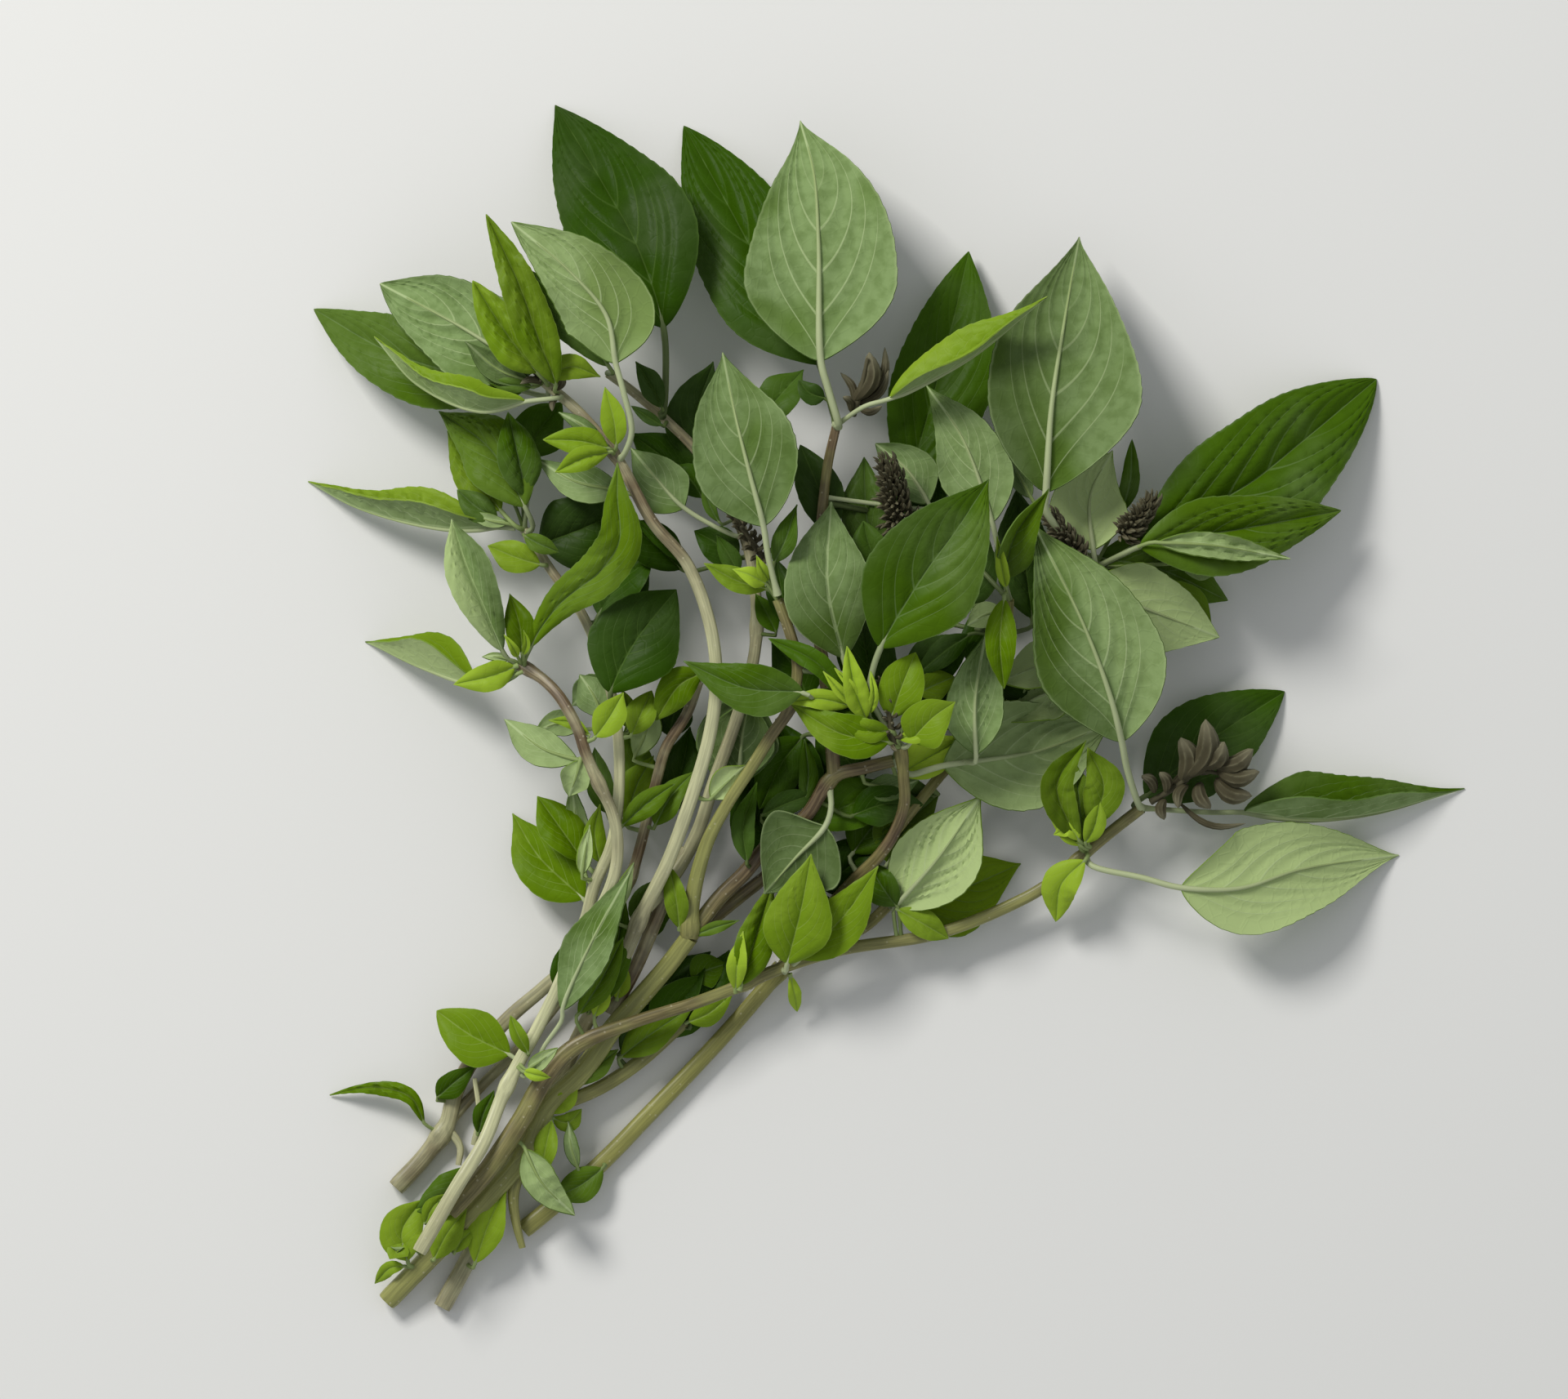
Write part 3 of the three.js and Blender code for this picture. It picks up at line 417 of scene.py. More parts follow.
def leaf_side_finish(name, body, deep, vein, young, midrib, vein_strength, relief, patchy, shader_inputs):
    """One side of a leaf: patches of two greens, partly its own uneven tone and partly a painted sheen, side
    veins that fade out towards the tip, a pale rim, and painted shade where its mark is below 0.
    """
    material, shader = new_material(name, shader_inputs)
    place = own_place(material)
    patches = noise(material, place, 38, 2)
    mottle = noise(material, place, 330, 5)
    creases = add_node(material, "ShaderNodeTexVoronoi", {"Vector": place, "Scale": 330},
                       feature="DISTANCE_TO_EDGE").outputs["Distance"]
    specks = add_node(material, "ShaderNodeTexVoronoi", {"Vector": place, "Scale": 48})
    tint = mark_value(material, "tint")
    along = mark_value(material, "along")
    across = mark_value(material, "across_mm")
    edgeward = mark_value(material, "edgeward")
    phase = mark_value(material, "vein_phase")
    # Patches between the paler greyish green and the deep saturated one: partly the leaf's own uneven tone,
    # partly a painted sheen standing in for soft reflections.
    colour = mix(material, fade(material, patches, *patchy), (*deep, 1), (*body, 1))
    colour = mix(material, number(material, "MULTIPLY", fade(material, mottle, 0.38, 0.66), 0.36), colour,
                 (*(0.74 * c for c in deep), 1))
    colour = mix(material, tint, colour, (*young, 1))
    to_vein = number(material, "PINGPONG", phase, 0.5)
    thin = number(material, "MULTIPLY_ADD", edgeward, -0.022, 0.040)
    side_vein = fade(material, number(material, "SUBTRACT", to_vein, thin), 0.022, -0.012)
    side_vein = number(material, "MULTIPLY", side_vein, fade(material, edgeward, 0.98, 0.70))
    side_vein = number(material, "MULTIPLY", side_vein, fade(material, phase, -0.6, -0.3))
    side_vein = number(material, "MULTIPLY", side_vein, fade(material, phase, 5.2, 2.2))
    middle = number(material, "MULTIPLY_ADD", along, -midrib * 0.75, midrib)
    middle_vein = fade(material, number(material, "SUBTRACT", across, middle), 0.22, -0.05)
    veins = number(material, "MAXIMUM", number(material, "MULTIPLY", side_vein, 0.75), middle_vein)
    colour = mix(material, number(material, "MULTIPLY", veins, vein_strength), colour, (*vein, 1))
    # Painted shade: where the mark is below 0 the side is darkened towards a deep green.
    shade = number(material, "MULTIPLY", tint, -1)
    colour = mix(material, shade, colour, (*(0.35 * c for c in deep), 1))
    rim = number(material, "MULTIPLY", fade(material, edgeward, 0.955, 1.0), 0.30)
    colour = mix(material, rim, colour, (*vein, 1))
    spot = number(material, "MULTIPLY", fade(material, specks.outputs["Distance"], 0.075, 0.03),
                  fade(material, add_node(material, "ShaderNodeSeparateColor",
                                          {"Color": specks.outputs["Color"]}).outputs[0], 0.84, 0.88))
    colour = mix(material, number(material, "MULTIPLY", spot, 0.7), colour, SPOT_COLOUR)
    height = number(material, "MULTIPLY_ADD", fade(material, creases, 0.0, 0.10), relief, mottle)
    height = number(material, "ADD", height, number(material, "MULTIPLY", veins, -2 * relief))
    return end_finish(material, shader, colour, height, 0.35)


WAXY = {"Roughness": 0.40, "Specular IOR Level": 0.06}
DULL = {"Roughness": 0.75, "Specular IOR Level": 0.15}
leaf_sides = {
    "dark_leaf": leaf_side_finish("dark_leaf_upper_side", (0.050, 0.094, 0.020), (0.028, 0.076, 0.001),
                                  (0.10, 0.175, 0.035), (0.09, 0.19, 0.006), 0.16, 0.55, 0.35,
                                  (0.42, 0.60), WAXY),
    "green_leaf": leaf_side_finish("green_leaf_upper_side", (0.082, 0.146, 0.026), (0.052, 0.117, 0.002),
                                   (0.175, 0.26, 0.10), (0.17, 0.28, 0.008), 0.16, 0.5, 0.35,
                                   (0.40, 0.58), WAXY),
    "bright_leaf": leaf_side_finish("bright_leaf_upper_side", (0.155, 0.250, 0.016), (0.105, 0.200, 0.001),
                                    (0.30, 0.40, 0.10), (0.34, 0.50, 0.035), 0.16, 0.45, 0.3,
                                    (0.40, 0.58), WAXY),
    "leaf_underside": leaf_side_finish("leaf_lower_side", (0.210, 0.305, 0.115), (0.085, 0.160, 0.015),
                                       (0.43, 0.53, 0.27), (0.41, 0.52, 0.22), 0.42, 0.75, -0.5,
                                       (0.30, 0.50), DULL),
}
stalk_skin, stalk_shader = new_material("leaf_stalk_skin", {"Roughness": 0.5, "Specular IOR Level": 0.25})
stalk_noise = noise(stalk_skin, own_place(stalk_skin), 260, 4)
stalk_body = mix(stalk_skin, stalk_noise, STALK_GREEN, STALK_PALE)
stalk_colour = mix(stalk_skin, mark_value(stalk_skin, "flush"), stalk_body, STALK_CREAM)
# Painted shade: stalks of leaves deep in the bunch are darkened by the shaded mark.
stalk_colour = mix(stalk_skin, mark_value(stalk_skin, "shaded"), stalk_colour, STALK_PAINTED_SHADE)
stalk_skin.node_tree.links.new(stalk_colour, stalk_shader.inputs["Base Color"])


def blade_share(along, widest, taper, point):
    """The blade's share of its full width: widest at that share of its length, drawn to a tip by point."""
    share = np.where(along < widest, np.sin(math.pi / 2 * np.clip(along / widest, 0, 1)) ** BLADE_ROUNDNESS,
                     np.cos(math.pi / 2 * np.clip((along - widest) / (1 - widest), 0, 1)) ** point)
    return share * (1 - taper * along)


def leaf_parts(name, slot, stalk, blade, width, roll=None, fold=None, lean=1.0, widest=0.34, taper=0.0,
               point=1.22, tint=0.0, wave=0.7, puff=1.0, dusk=0.0, dim=0.0, upper=None,
               under="leaf_underside"):
    """The blade and the stalk of one leaf. stalk and blade are points on its centre line; roll is degrees
    about it at the base and the tip, and pale leaves lie underside up; fold lifts each half; lean widens the
    first half; point draws out the tip; wave lifts the edge and puff the skin between the veins; tint
    is towards the young colour above 0, partly the leaf's own tone and partly painted light, and towards a
    painted shade below it; dusk paints shade over one half, and dim paints shade over the foot, or light
    there below 0; upper and under name the finish of a side that isn't the usual one."""
    face_down = slot == "leaf_underside"
    roll = roll or (FACE_DOWN if face_down else (0, 0))
    fold = fold or (FACE_DOWN_FOLD if face_down else FACE_UP_FOLD)
    chance = np.random.default_rng(list(name.encode()))
    samples, shares, point_shares, whole = path_through([*stalk, *blade])
    base = point_shares[len(stalk)]
    length = whole * (1 - base)
    rows = max(FEWEST_STEPS, round(length / CORNER_GAP)) + 1
    columns = 2 * max(3, round(width / 2 / CORNER_GAP)) + 1
    v = np.linspace(0, 1, rows)
    u = np.linspace(1, -1, columns)[None, :]
    reach = np.abs(u)
    places, sides, normals = frames_along(samples, shares, base + (1 - base) * v,
                                          roll[0] + (roll[1] - roll[0]) * v)
    half = width / 2 * blade_share(v, widest, taper, point)[:, None]
    v = v[:, None]
    size = min(1.0, length / FULL_RELIEF_LENGTH)
    teeth = ((v * length / TOOTH_GAP + chance.random()) % 1.0) * TOOTH_DEPTH * size * np.sin(math.pi * v)
    drift = 1 + EDGE_DRIFT * np.sin(2 * math.pi * (v * 1.5 + chance.random()) + np.sign(u))
    half = (half + FOOT_SPREAD * size * (1 - v)) * drift * np.where(u > 0, lean, 2 - lean)
    half = half + teeth * reach ** 6
    tilt = math.radians(fold)
    phase = (v - 0.25 * reach - 0.45 * reach ** 2) / VEIN_SPACING + 0.12 * np.sign(u) * reach
    to_vein = np.where(phase < -0.5, 1, np.abs((phase + 0.5) % 1.0 - 0.5) * 2)
    middle = np.sin(math.pi * np.clip(v, 0, 1)) ** 0.5 * np.sin(math.pi * reach ** 0.8) ** 0.7
    lift = half * reach * math.sin(tilt)
    pillow = PUFF_HEIGHT * puff * size * (1 - (1 - to_vein) ** 2) * middle
    lift = lift + pillow * np.clip(2 - 0.35 * phase, 0, 1)
    lift = lift + BELLY * puff * half * np.sin(math.pi * reach)
    turns = 1.2 + chance.random()
    swing = np.sin(2 * math.pi * (v * turns + chance.random()) + 1.3 * np.sign(u) * chance.random())
    lift = lift + wave * size * swing * reach ** 2.5 * np.sin(math.pi * v)
    corners = (places[:, None] + sides[:, None] * (u * half * math.cos(tilt))[..., None]
               + normals[:, None] * lift[..., None])
    corners[..., 2] = np.maximum(corners[..., 2], BLADE_SKIN / 2 + FLOOR_GAP)
    # This mark mixes the leaf's own tone with painted light and shade: below 0 it paints shade, and the two
    # terms after the noise paint shade over one half and over the foot.
    marks = {"along": v, "across_mm": reach * half, "edgeward": reach, "vein_phase": phase,
             "tint": tint + chance.normal(0, 0.07) - abs(dusk) * np.clip(0.35 + 1.3 * np.sign(dusk) * u, 0, 1)
             - dim * np.clip(1.3 - 2.2 * v, 0, 1)}
    sheet = add_grid(name, corners, marks)
    upper = upper or ("green_leaf" if face_down else slot)
    sheet.data.materials.append(leaf_sides[upper])
    sheet.data.materials.append(leaf_sides[under])
    solidify = sheet.modifiers.new("skin", "SOLIDIFY")
    solidify.thickness = BLADE_SKIN * MM
    solidify.offset = 0
    solidify.material_offset = 1
    bpy.ops.object.modifier_apply(modifier=solidify.name)

    line = np.array([*stalk, *blade], float)
    gaps = np.linalg.norm(all_stem_places - line[0], axis=1)
    if gaps.min() > NEAR_STEM:
        line = np.vstack([all_stem_places[np.argmin(gaps)], line])
    stalk_path = path_through(line)
    stalk_base = stalk_path[2][len(line) - len(blade)]
    stalk_length = stalk_path[3]
    at = np.linspace(0, 1, max(FEWEST_STEPS, round(stalk_length / STALK_STEP)))
    rib = np.clip((at - stalk_base) / (1 - stalk_base), 0, 1)
    thick = (STALK_RADIUS + STALK_PER_WIDTH * width) * np.interp(rib, [0, 0.08, 0.5, 1], [1, 0.95, 0.5, 0.08])
    swollen = 1 + STALK_SWELL * np.exp(-(at * stalk_length / STALK_SWELL_LENGTH) ** 2)
    stalk_roll = roll[0] + (roll[1] - roll[0]) * rib
    sink = np.maximum(thick - RIB_PROUD, 0) * np.clip(rib * 12, 0, 1)
    marks = {"flush": (0.6 if width > WIDE_LEAF else 0.1) * (1 - rib),
             "shaded": np.full(len(at), STALK_SHADE[slot])}
    tube = add_tube(name, stalk_path, at, thick * swollen, np.ones(8), stalk_roll, marks, sink)
    tube.data.materials.append(stalk_skin)
    return [sheet, tube]


def leaf(name, slot, stalk, blade, width, **shape):
    """One large leaf as a piece of its own, in place of the CAD node of that name."""
    piece = join_pieces(name + "_blade", leaf_parts(name, slot, stalk, blade, width, **shape))
    smooth_piece(piece, LEAF_SMOOTH)
    declare(piece, name)


# ---- The leaves of the upper left head ----
# Six leaves near the tip of the long pale stem, thin soft blades, each on its own stalk. Two lie underside
# up, one is folded along its midrib, two young ones are crinkled, and one rests its tip on the surface.

leaf("pale_curled_leaf", "leaf_underside", [(-57.4, 56.5, 34.8), (-56, 61, 38), (-57.8, 69.5, 41)],
     [(-59.5, 75.7, 42), (-61.5, 86, 43), (-69.4, 95.6, 43), (-82.4, 106.7, 40)], 21, lean=1.1, widest=0.3,
     taper=0.25, point=0.9, tint=0.4, puff=1.5)
leaf("far_left_leaf", "green_leaf", [(-75, 69, 23)], [(-80.2, 70.1, 22), (-109, 78.6, 12), (-127, 88.7, 0.2)],
     17.5, widest=0.42, point=0.9, tint=0.15)
leaf("upper_left_underside_leaf", "leaf_underside", [(-74, 74, 30)],
     [(-77.5, 74.5, 30.5), (-94.6, 84.6, 24), (-112, 94, 13)], 20.5, point=0.85, puff=1.8)
leaf("left_folded_leaf", "leaf_underside", [(-72.6, 68.3, 31.5)], [(-79.5, 67.5, 32), (-89.5, 65.5, 30.5),
     (-103.6, 71.5, 26.5), (-113, 82, 23)], 13, roll=(50, 62), fold=68, widest=0.3, upper="bright_leaf",
     tint=0.4)
leaf("crinkled_leaf", "bright_leaf", [(-75, 72, 31)], [(-77, 74, 33.5), (-84, 83, 35), (-91, 94, 33)], 10,
     fold=20, point=0.9, puff=3, tint=0.15, wave=1.2)
leaf("twisted_tip_leaf", "bright_leaf", [(-73, 70, 32)], [(-72.8, 71.6, 35), (-76.3, 80.6, 38),
     (-80.8, 93.2, 39), (-88, 108.5, 36)], 9.5, fold=25, point=0.9, puff=1.8, tint=-0.15)

# ---- The leaves of the left head ----
# Three thin blades on short stalks at the tip of the lower left stem. All of them droop outwards, and the one
# that is folded along its midrib rests its tip on the surface.

leaf("left_upper_leaf", "green_leaf", [(-78, 40, 21)],
     [(-79.8, 44.6, 24), (-87.4, 57.2, 20), (-99, 65.8, 10)], 14.5, fold=10, puff=1.8, tint=0.35)
leaf("left_hanging_leaf", "bright_leaf", [(-81.5, 40, 20.5)],
     [(-85.2, 43.8, 19), (-91.2, 52, 14), (-97.2, 61.5, 6)], 9.5, fold=10, puff=2.5)
leaf("left_pointing_leaf", "leaf_underside", [(-82, 40, 18.4)], [(-86, 40, 18), (-95, 39.6, 16),
     (-106, 41.2, 12), (-118.5, 45, 6), (-128.3, 50.4, 0.2)], 15, roll=(60, 60), fold=66, upper="bright_leaf",
     puff=1.8, tint=0.2)

# ---- The leaves of the crooked stem ----
# Three thin blades on short stalks at the end of the crooked stem. A long one arches up over the stems beside
# it, one shows its pale side, and one is folded along its midrib, with its tip on the surface.

leaf("arching_leaf", "green_leaf", [(-79.8, 10.6, 24.5)], [(-78.2, 14, 25.5), (-75.6, 18.6, 27),
     (-71, 24, 29), (-63.1, 30.2, 32.5), (-58.8, 37, 36), (-59.2, 46, 37), (-59.2, 54, 36.8)], 10,
     roll=(0, 15), widest=0.6, tint=0.42, puff=1.1)
leaf("left_tall_leaf", "green_leaf", [(-83, 10.5, 24)], [(-84.8, 13, 25.5), (-88.6, 22, 27), (-92.4, 31, 26),
     (-95.9, 41.7, 22)], 12, fold=34, widest=0.55, tint=0.75, puff=2.0, upper="leaf_underside", dusk=-1.1)
leaf("left_cupped_leaf", "leaf_underside", [(-83.5, 7.6, 21)],
     [(-90, 5.6, 18.5), (-102, 8.8, 11), (-115.6, 14.8, 0.2)], 16.5, roll=(60, 60), fold=68, tint=0.9)

# ---- The leaves in the middle of the bunch ----
# Nine leaves of the middle stems, thin blades that overlap, each on its own stalk. Four show their pale
# undersides, one is dark, one green, and three are small young ones, two of them in the central crown.

leaf("middle_left_leaf", "leaf_underside", [(-55.5, 47, 27)],
     [(-58.5, 48, 26), (-68.5, 50, 24), (-77.5, 55.2, 20)], 8, tint=0.3, dusk=0.4)
leaf("beside_stem_leaf", "leaf_underside", [(-33, 38, 23)],
     [(-44.6, 44.2, 25), (-51, 51, 25), (-56.4, 57.5, 23)], 12, tint=-0.1)
leaf("dark_middle_leaf", "dark_leaf", [(-60.5, 1, 24.5)],
     [(-60.8, 3.5, 27), (-55.9, 14, 27), (-46.4, 26.2, 22)], 19.5, widest=0.42, point=0.95, dim=-0.4,
     tint=-0.45)
leaf("pale_middle_leaf", "leaf_underside", [(-24, 25, 34), (-26, 33, 37)], [(-27.1, 40, 39), (-30, 51, 41),
     (-33, 63, 40), (-36.1, 78.2, 34)], 23, widest=0.38, tint=-0.25)
leaf("inner_pale_leaf", "green_leaf", [(-9, 8, 33)], [(-9.6, 11.3, 34), (-13, 26.6, 33), (-12.2, 45.5, 27)],
     19, tint=-0.25, widest=0.42, upper="leaf_underside", dim=0.45, puff=1.2)
leaf("bright_edged_leaf", "green_leaf", [(-3.7, 2.6, 36), (-3.5, 6.8, 38)], [(-1.4, 13.4, 39.5),
     (8, 29.3, 42), (15.2, 39.2, 41), (22.4, 50.3, 36)], 24.5, widest=0.4, tint=0.05, dusk=0.45)
leaf("bright_cross_leaf", "bright_leaf", [(-16.5, 2.5, 36)],
     [(-18.6, 3.5, 37), (-31, 4.5, 38.5), (-44.6, 10.4, 36)], 11, fold=12, tint=-0.15, upper="green_leaf")
leaf("crown_left_leaf", "bright_leaf", [(1.6, -8.2, 31)],
     [(0.3, -7.4, 32.5), (-10, -5.5, 35), (-21.2, 1, 33.5)], 9.5, fold=15)
leaf("crown_right_leaf", "bright_leaf", [(4.6, -8.3, 31)], [(5.4, -7, 33), (10, -2, 36), (15, 1.5, 35)], 11,
     fold=15, tint=0.25)

# ---- The leaves along the top ----
# Five broad or long blades that point outwards at the top, each on its own stalk. Three are dark, and two of
# those rest their tips on the surface; the widest leaf of the bunch lies underside up, and one is folded.

leaf("top_left_leaf", "dark_leaf", [(-49.2, 65, 23), (-48.7, 72, 24.5)], [(-49.2, 84, 25), (-55, 102, 20),
     (-62, 115, 12), (-73.4, 134, 0.2)], 28, widest=0.36, point=1.0, tint=-0.25, puff=1.3)
leaf("top_middle_leaf", "dark_leaf", [(-12, 66, 22)], [(-14.8, 76, 21), (-27.2, 97, 15), (-35.6, 112.6, 8),
     (-44.8, 129.4, 0.2)], 27, point=0.9, puff=1.4)
leaf("top_right_pale_leaf", "leaf_underside", [(-10.5, 62.2, 28), (-13, 70.7, 31)], [(-14.5, 76.4, 32),
     (-15, 102.2, 29), (-16, 118, 22), (-19, 130, 13)], 33.5, widest=0.32, lean=1.05, tint=-0.05)
leaf("top_folded_leaf", "bright_leaf", [(-4.6, 66.6, 31)],
     [(0.8, 68.2, 31.5), (18.8, 77.3, 35), (35.2, 90.4, 39)], 13, roll=(-60, -60), fold=45, tint=0.3)
leaf("dark_triangle_leaf", "dark_leaf", [(2, 44, 17)], [(4, 48, 16), (14.4, 84.2, 10), (18.4, 101.4, 3)],
     21.5, widest=0.45, point=0.95, lean=0.9, tint=0.3)

# ---- The leaves on the right ----
# Fifteen leaves of the right hand stems, round the flower spikes, each on its own stalk. Seven lie underside
# up, four of the outer ones rest their tips on the surface, and two young ones stand close together.

leaf("right_underside_leaf", "leaf_underside", [(34.8, 44, 31.5)], [(35, 47.6, 32.5), (36.2, 66.2, 33),
     (39, 84.2, 26), (42.8, 104.4, 10)], 33, tint=-0.3, lean=1.12, dusk=-0.4)
leaf("right_behind_leaf", "leaf_underside", [(46.2, 31.5, 21)],
     [(45.7, 35, 21), (45, 47, 20.5), (50, 57, 18)], 17, tint=1.0, puff=1.3)
leaf("inner_right_leaf", "leaf_underside", [(24, 38, 26)], [(23.3, 41, 26.5), (17, 59, 26), (8.9, 71.2, 22)],
     15.5)
leaf("upright_folded_leaf", "green_leaf", [(26.5, 26, 25)], [(26, 28.5, 27), (28, 38, 34), (35.5, 48.2, 39)],
     11, roll=(30, 30), fold=38, under="bright_leaf", tint=0.3)
leaf("right_central_leaf", "leaf_underside", [(55.7, -21, 16.5), (53, -13, 23)], [(51.8, -7.3, 27),
     (49, 3.2, 31), (43, 19, 33), (32.3, 40.6, 32)], 27.5, widest=0.38, lean=1.06, dusk=-0.55, puff=1.5,
     tint=0.2)
leaf("upper_right_leaf", "dark_leaf", [(53, 34.5, 22)], [(56.1, 36.5, 22), (80, 49.6, 15), (91.5, 58.6, 10),
     (109, 73.1, 0.2)], 27, widest=0.42, point=0.8, tint=0.05, upper="green_leaf", puff=1.6)
leaf("right_narrow_leaf", "green_leaf", [(52, 34, 27)],
     [(55.9, 35.7, 27.5), (78, 39.6, 22.4), (100.6, 43.8, 12.5)], 17, fold=12, lean=0.92, point=0.95,
     tint=0.1, puff=1.5)
leaf("right_lower_leaf", "green_leaf", [(44, 34, 17.5)], [(46.7, 33.4, 17), (60, 31, 13), (75.8, 24, 5)], 15,
     point=0.95, tint=0.15)
leaf("right_pale_lower_leaf", "leaf_underside", [(43, 27.5, 19.5)],
     [(44.9, 27.2, 21), (58, 21.8, 19), (73.8, 15.8, 12)], 18, point=0.95, tint=0.85)
leaf("behind_flower_leaf", "dark_leaf", [(55, -21, 9)], [(57.5, -19.4, 9), (72, -7, 6), (88.6, 3.7, 0.2)], 20,
     point=0.85, dim=0.3, tint=0.1)
leaf("far_right_folded_leaf", "green_leaf", [(72, -23, 12)], [(79.1, -23, 12), (92.6, -24.6, 10),
     (108, -23.4, 6), (128.6, -17.8, 0.2)], 17.5, roll=(-63, -63), fold=68, lean=1.18, widest=0.27)
leaf("far_right_pale_leaf", "leaf_underside", [(45.4, -34.7, 13), (56.6, -37.4, 15)], [(65.2, -39.6, 16),
     (78, -39.8, 15), (92, -35.6, 11), (114, -32.6, 0.2)], 23, lean=0.96, widest=0.35, tint=0.95)
leaf("twisted_left_leaf", "bright_leaf", [(43, -31, 14)], [(42.6, -29.5, 16), (37.6, -17, 21), (44, -7, 24)],
     7.4, fold=18, widest=0.5, tint=-0.02, puff=1.6, wave=0.8, dusk=0.6)
leaf("twisted_right_leaf", "bright_leaf", [(44.5, -30, 14)],
     [(45.4, -26, 16), (48, -17, 19), (44.4, -8.6, 21)], 9, fold=16, widest=0.5, puff=1.6, wave=0.8, tint=0.1,
     dusk=-0.25)
leaf("stalked_pale_leaf", "leaf_underside", [(5, -14.5, 21), (9, -13.6, 20.6)],
     [(12.6, -12.6, 20.4), (33, -9.5, 15.5), (50.3, -3.2, 8)], 24.5, widest=0.4, tint=0.25, puff=1.6)

# ---- The leaves under the right stems ----
# Five leaves round the middle of the long right hand stem, thin blades on stalks from the stems beside them:
# a low one, a pale one above it, two bright young ones, and a grey green one on a pale stalk.

leaf("dark_low_leaf", "dark_leaf", [(2, -43.8, 6.2)], [(4.4, -43.8, 5.4), (17, -40, 3.6), (30, -34.5, 1)], 19,
     fold=6, tint=1.1, upper="green_leaf")
leaf("pale_low_leaf", "leaf_underside", [(1.5, -44.5, 8)],
     [(2.1, -43.7, 11), (11.5, -33, 17), (21, -19.2, 17.5)], 18.5, widest=0.45, tint=1.0, puff=2.2)
leaf("bright_front_leaf", "bright_leaf", [(-22.3, -58.4, 13.5)],
     [(-21.9, -56.3, 16), (-18.8, -44, 21), (-16.6, -32.1, 22.5)], 14.5, widest=0.38, tint=0.2, puff=1.5)
leaf("bright_side_leaf", "bright_leaf", [(-20.3, -56.5, 13.6)], [(-18.9, -55.2, 14.2), (-9.5, -46, 16.5),
     (-1.8, -34.8, 19.5)], 11.5, fold=10, tint=0.15)
leaf("grey_green_leaf", "leaf_underside", [(-12.6, -17, 19), (-12.2, -21.8, 20)],
     [(-13.5, -26, 19.5), (-20, -33, 18.5), (-27, -41, 17)], 21, tint=-0.6, upper="leaf_underside", puff=1.4)

# ---- The leaves beside the stems ----
# Three leaves low on the stems, thin blades, each on its own stalk: two bright young ones on the left, one
# with its tip on the surface, and a long narrow one that shows its underside.

leaf("bright_veined_leaf", "bright_leaf", [(-65.6, -44, 10)],
     [(-67, -42.2, 10), (-76.8, -33, 7), (-82.9, -23.4, 0.2)], 13)
leaf("long_lower_leaf", "leaf_underside", [(-79.5, -81.5, 15.4), (-75.5, -74.5, 17.6), (-71.6, -68.6, 19.5)],
     [(-71.5, -66.5, 20.5), (-65, -51.5, 23.5), (-56.5, -36, 23.5)], 11, roll=(155, 155), widest=0.42,
     tint=-0.15)
leaf("lower_left_leaf", "bright_leaf", [(-81.8, -77.8, 11.4)], [(-83.4, -76.6, 11.6), (-91.8, -72.4, 11.5),
     (-99.5, -67, 9)], 12, fold=10, widest=0.4, point=0.8, tint=0.25)

# ---- Small leaves ----
# Small leaves and leaf pairs sit at the nodes, thin soft blades on short stalks. A third are young and bright
# green, and darker ones lie deep in the bunch. The leaves of a group are joined into one piece.

LOOKS = {"bright": "bright_leaf", "green": "green_leaf", "dark": "dark_leaf", "pale": "leaf_underside"}
SHORT_STALK = 0.12
ROLL_SPREAD = 15
TINT_SPREAD = 0.12


def shoots(name, slot, *leaves):
    """Each leaf is its look, width, fold and tint (its own tone with painted light and shade), then its
    centre line; all are joined into one piece.
    """
    chance = np.random.default_rng(list(name.encode()))
    parts = []
    for count, (look, width, fold, tint, start, *line) in enumerate(leaves):
        roll = tuple((180 if look == "pale" else 0) + chance.normal(0, ROLL_SPREAD, 2))
        start_of_blade = tuple((1 - SHORT_STALK) * a + SHORT_STALK * b for a, b in zip(start, line[0]))
        parts += leaf_parts(f"{name}_{count}", LOOKS[look], [start], [start_of_blade, *line], width,
                            roll=roll, fold=fold, tint=tint + chance.normal(0, TINT_SPREAD),
                            widest=chance.uniform(0.34, 0.5), point=chance.uniform(0.85, 1.3), wave=0.9,
                            puff=chance.uniform(0.8, 2.4))
    piece = join_pieces(name, parts)
    smooth_piece(piece, LEAF_SMOOTH)
    declare(piece)


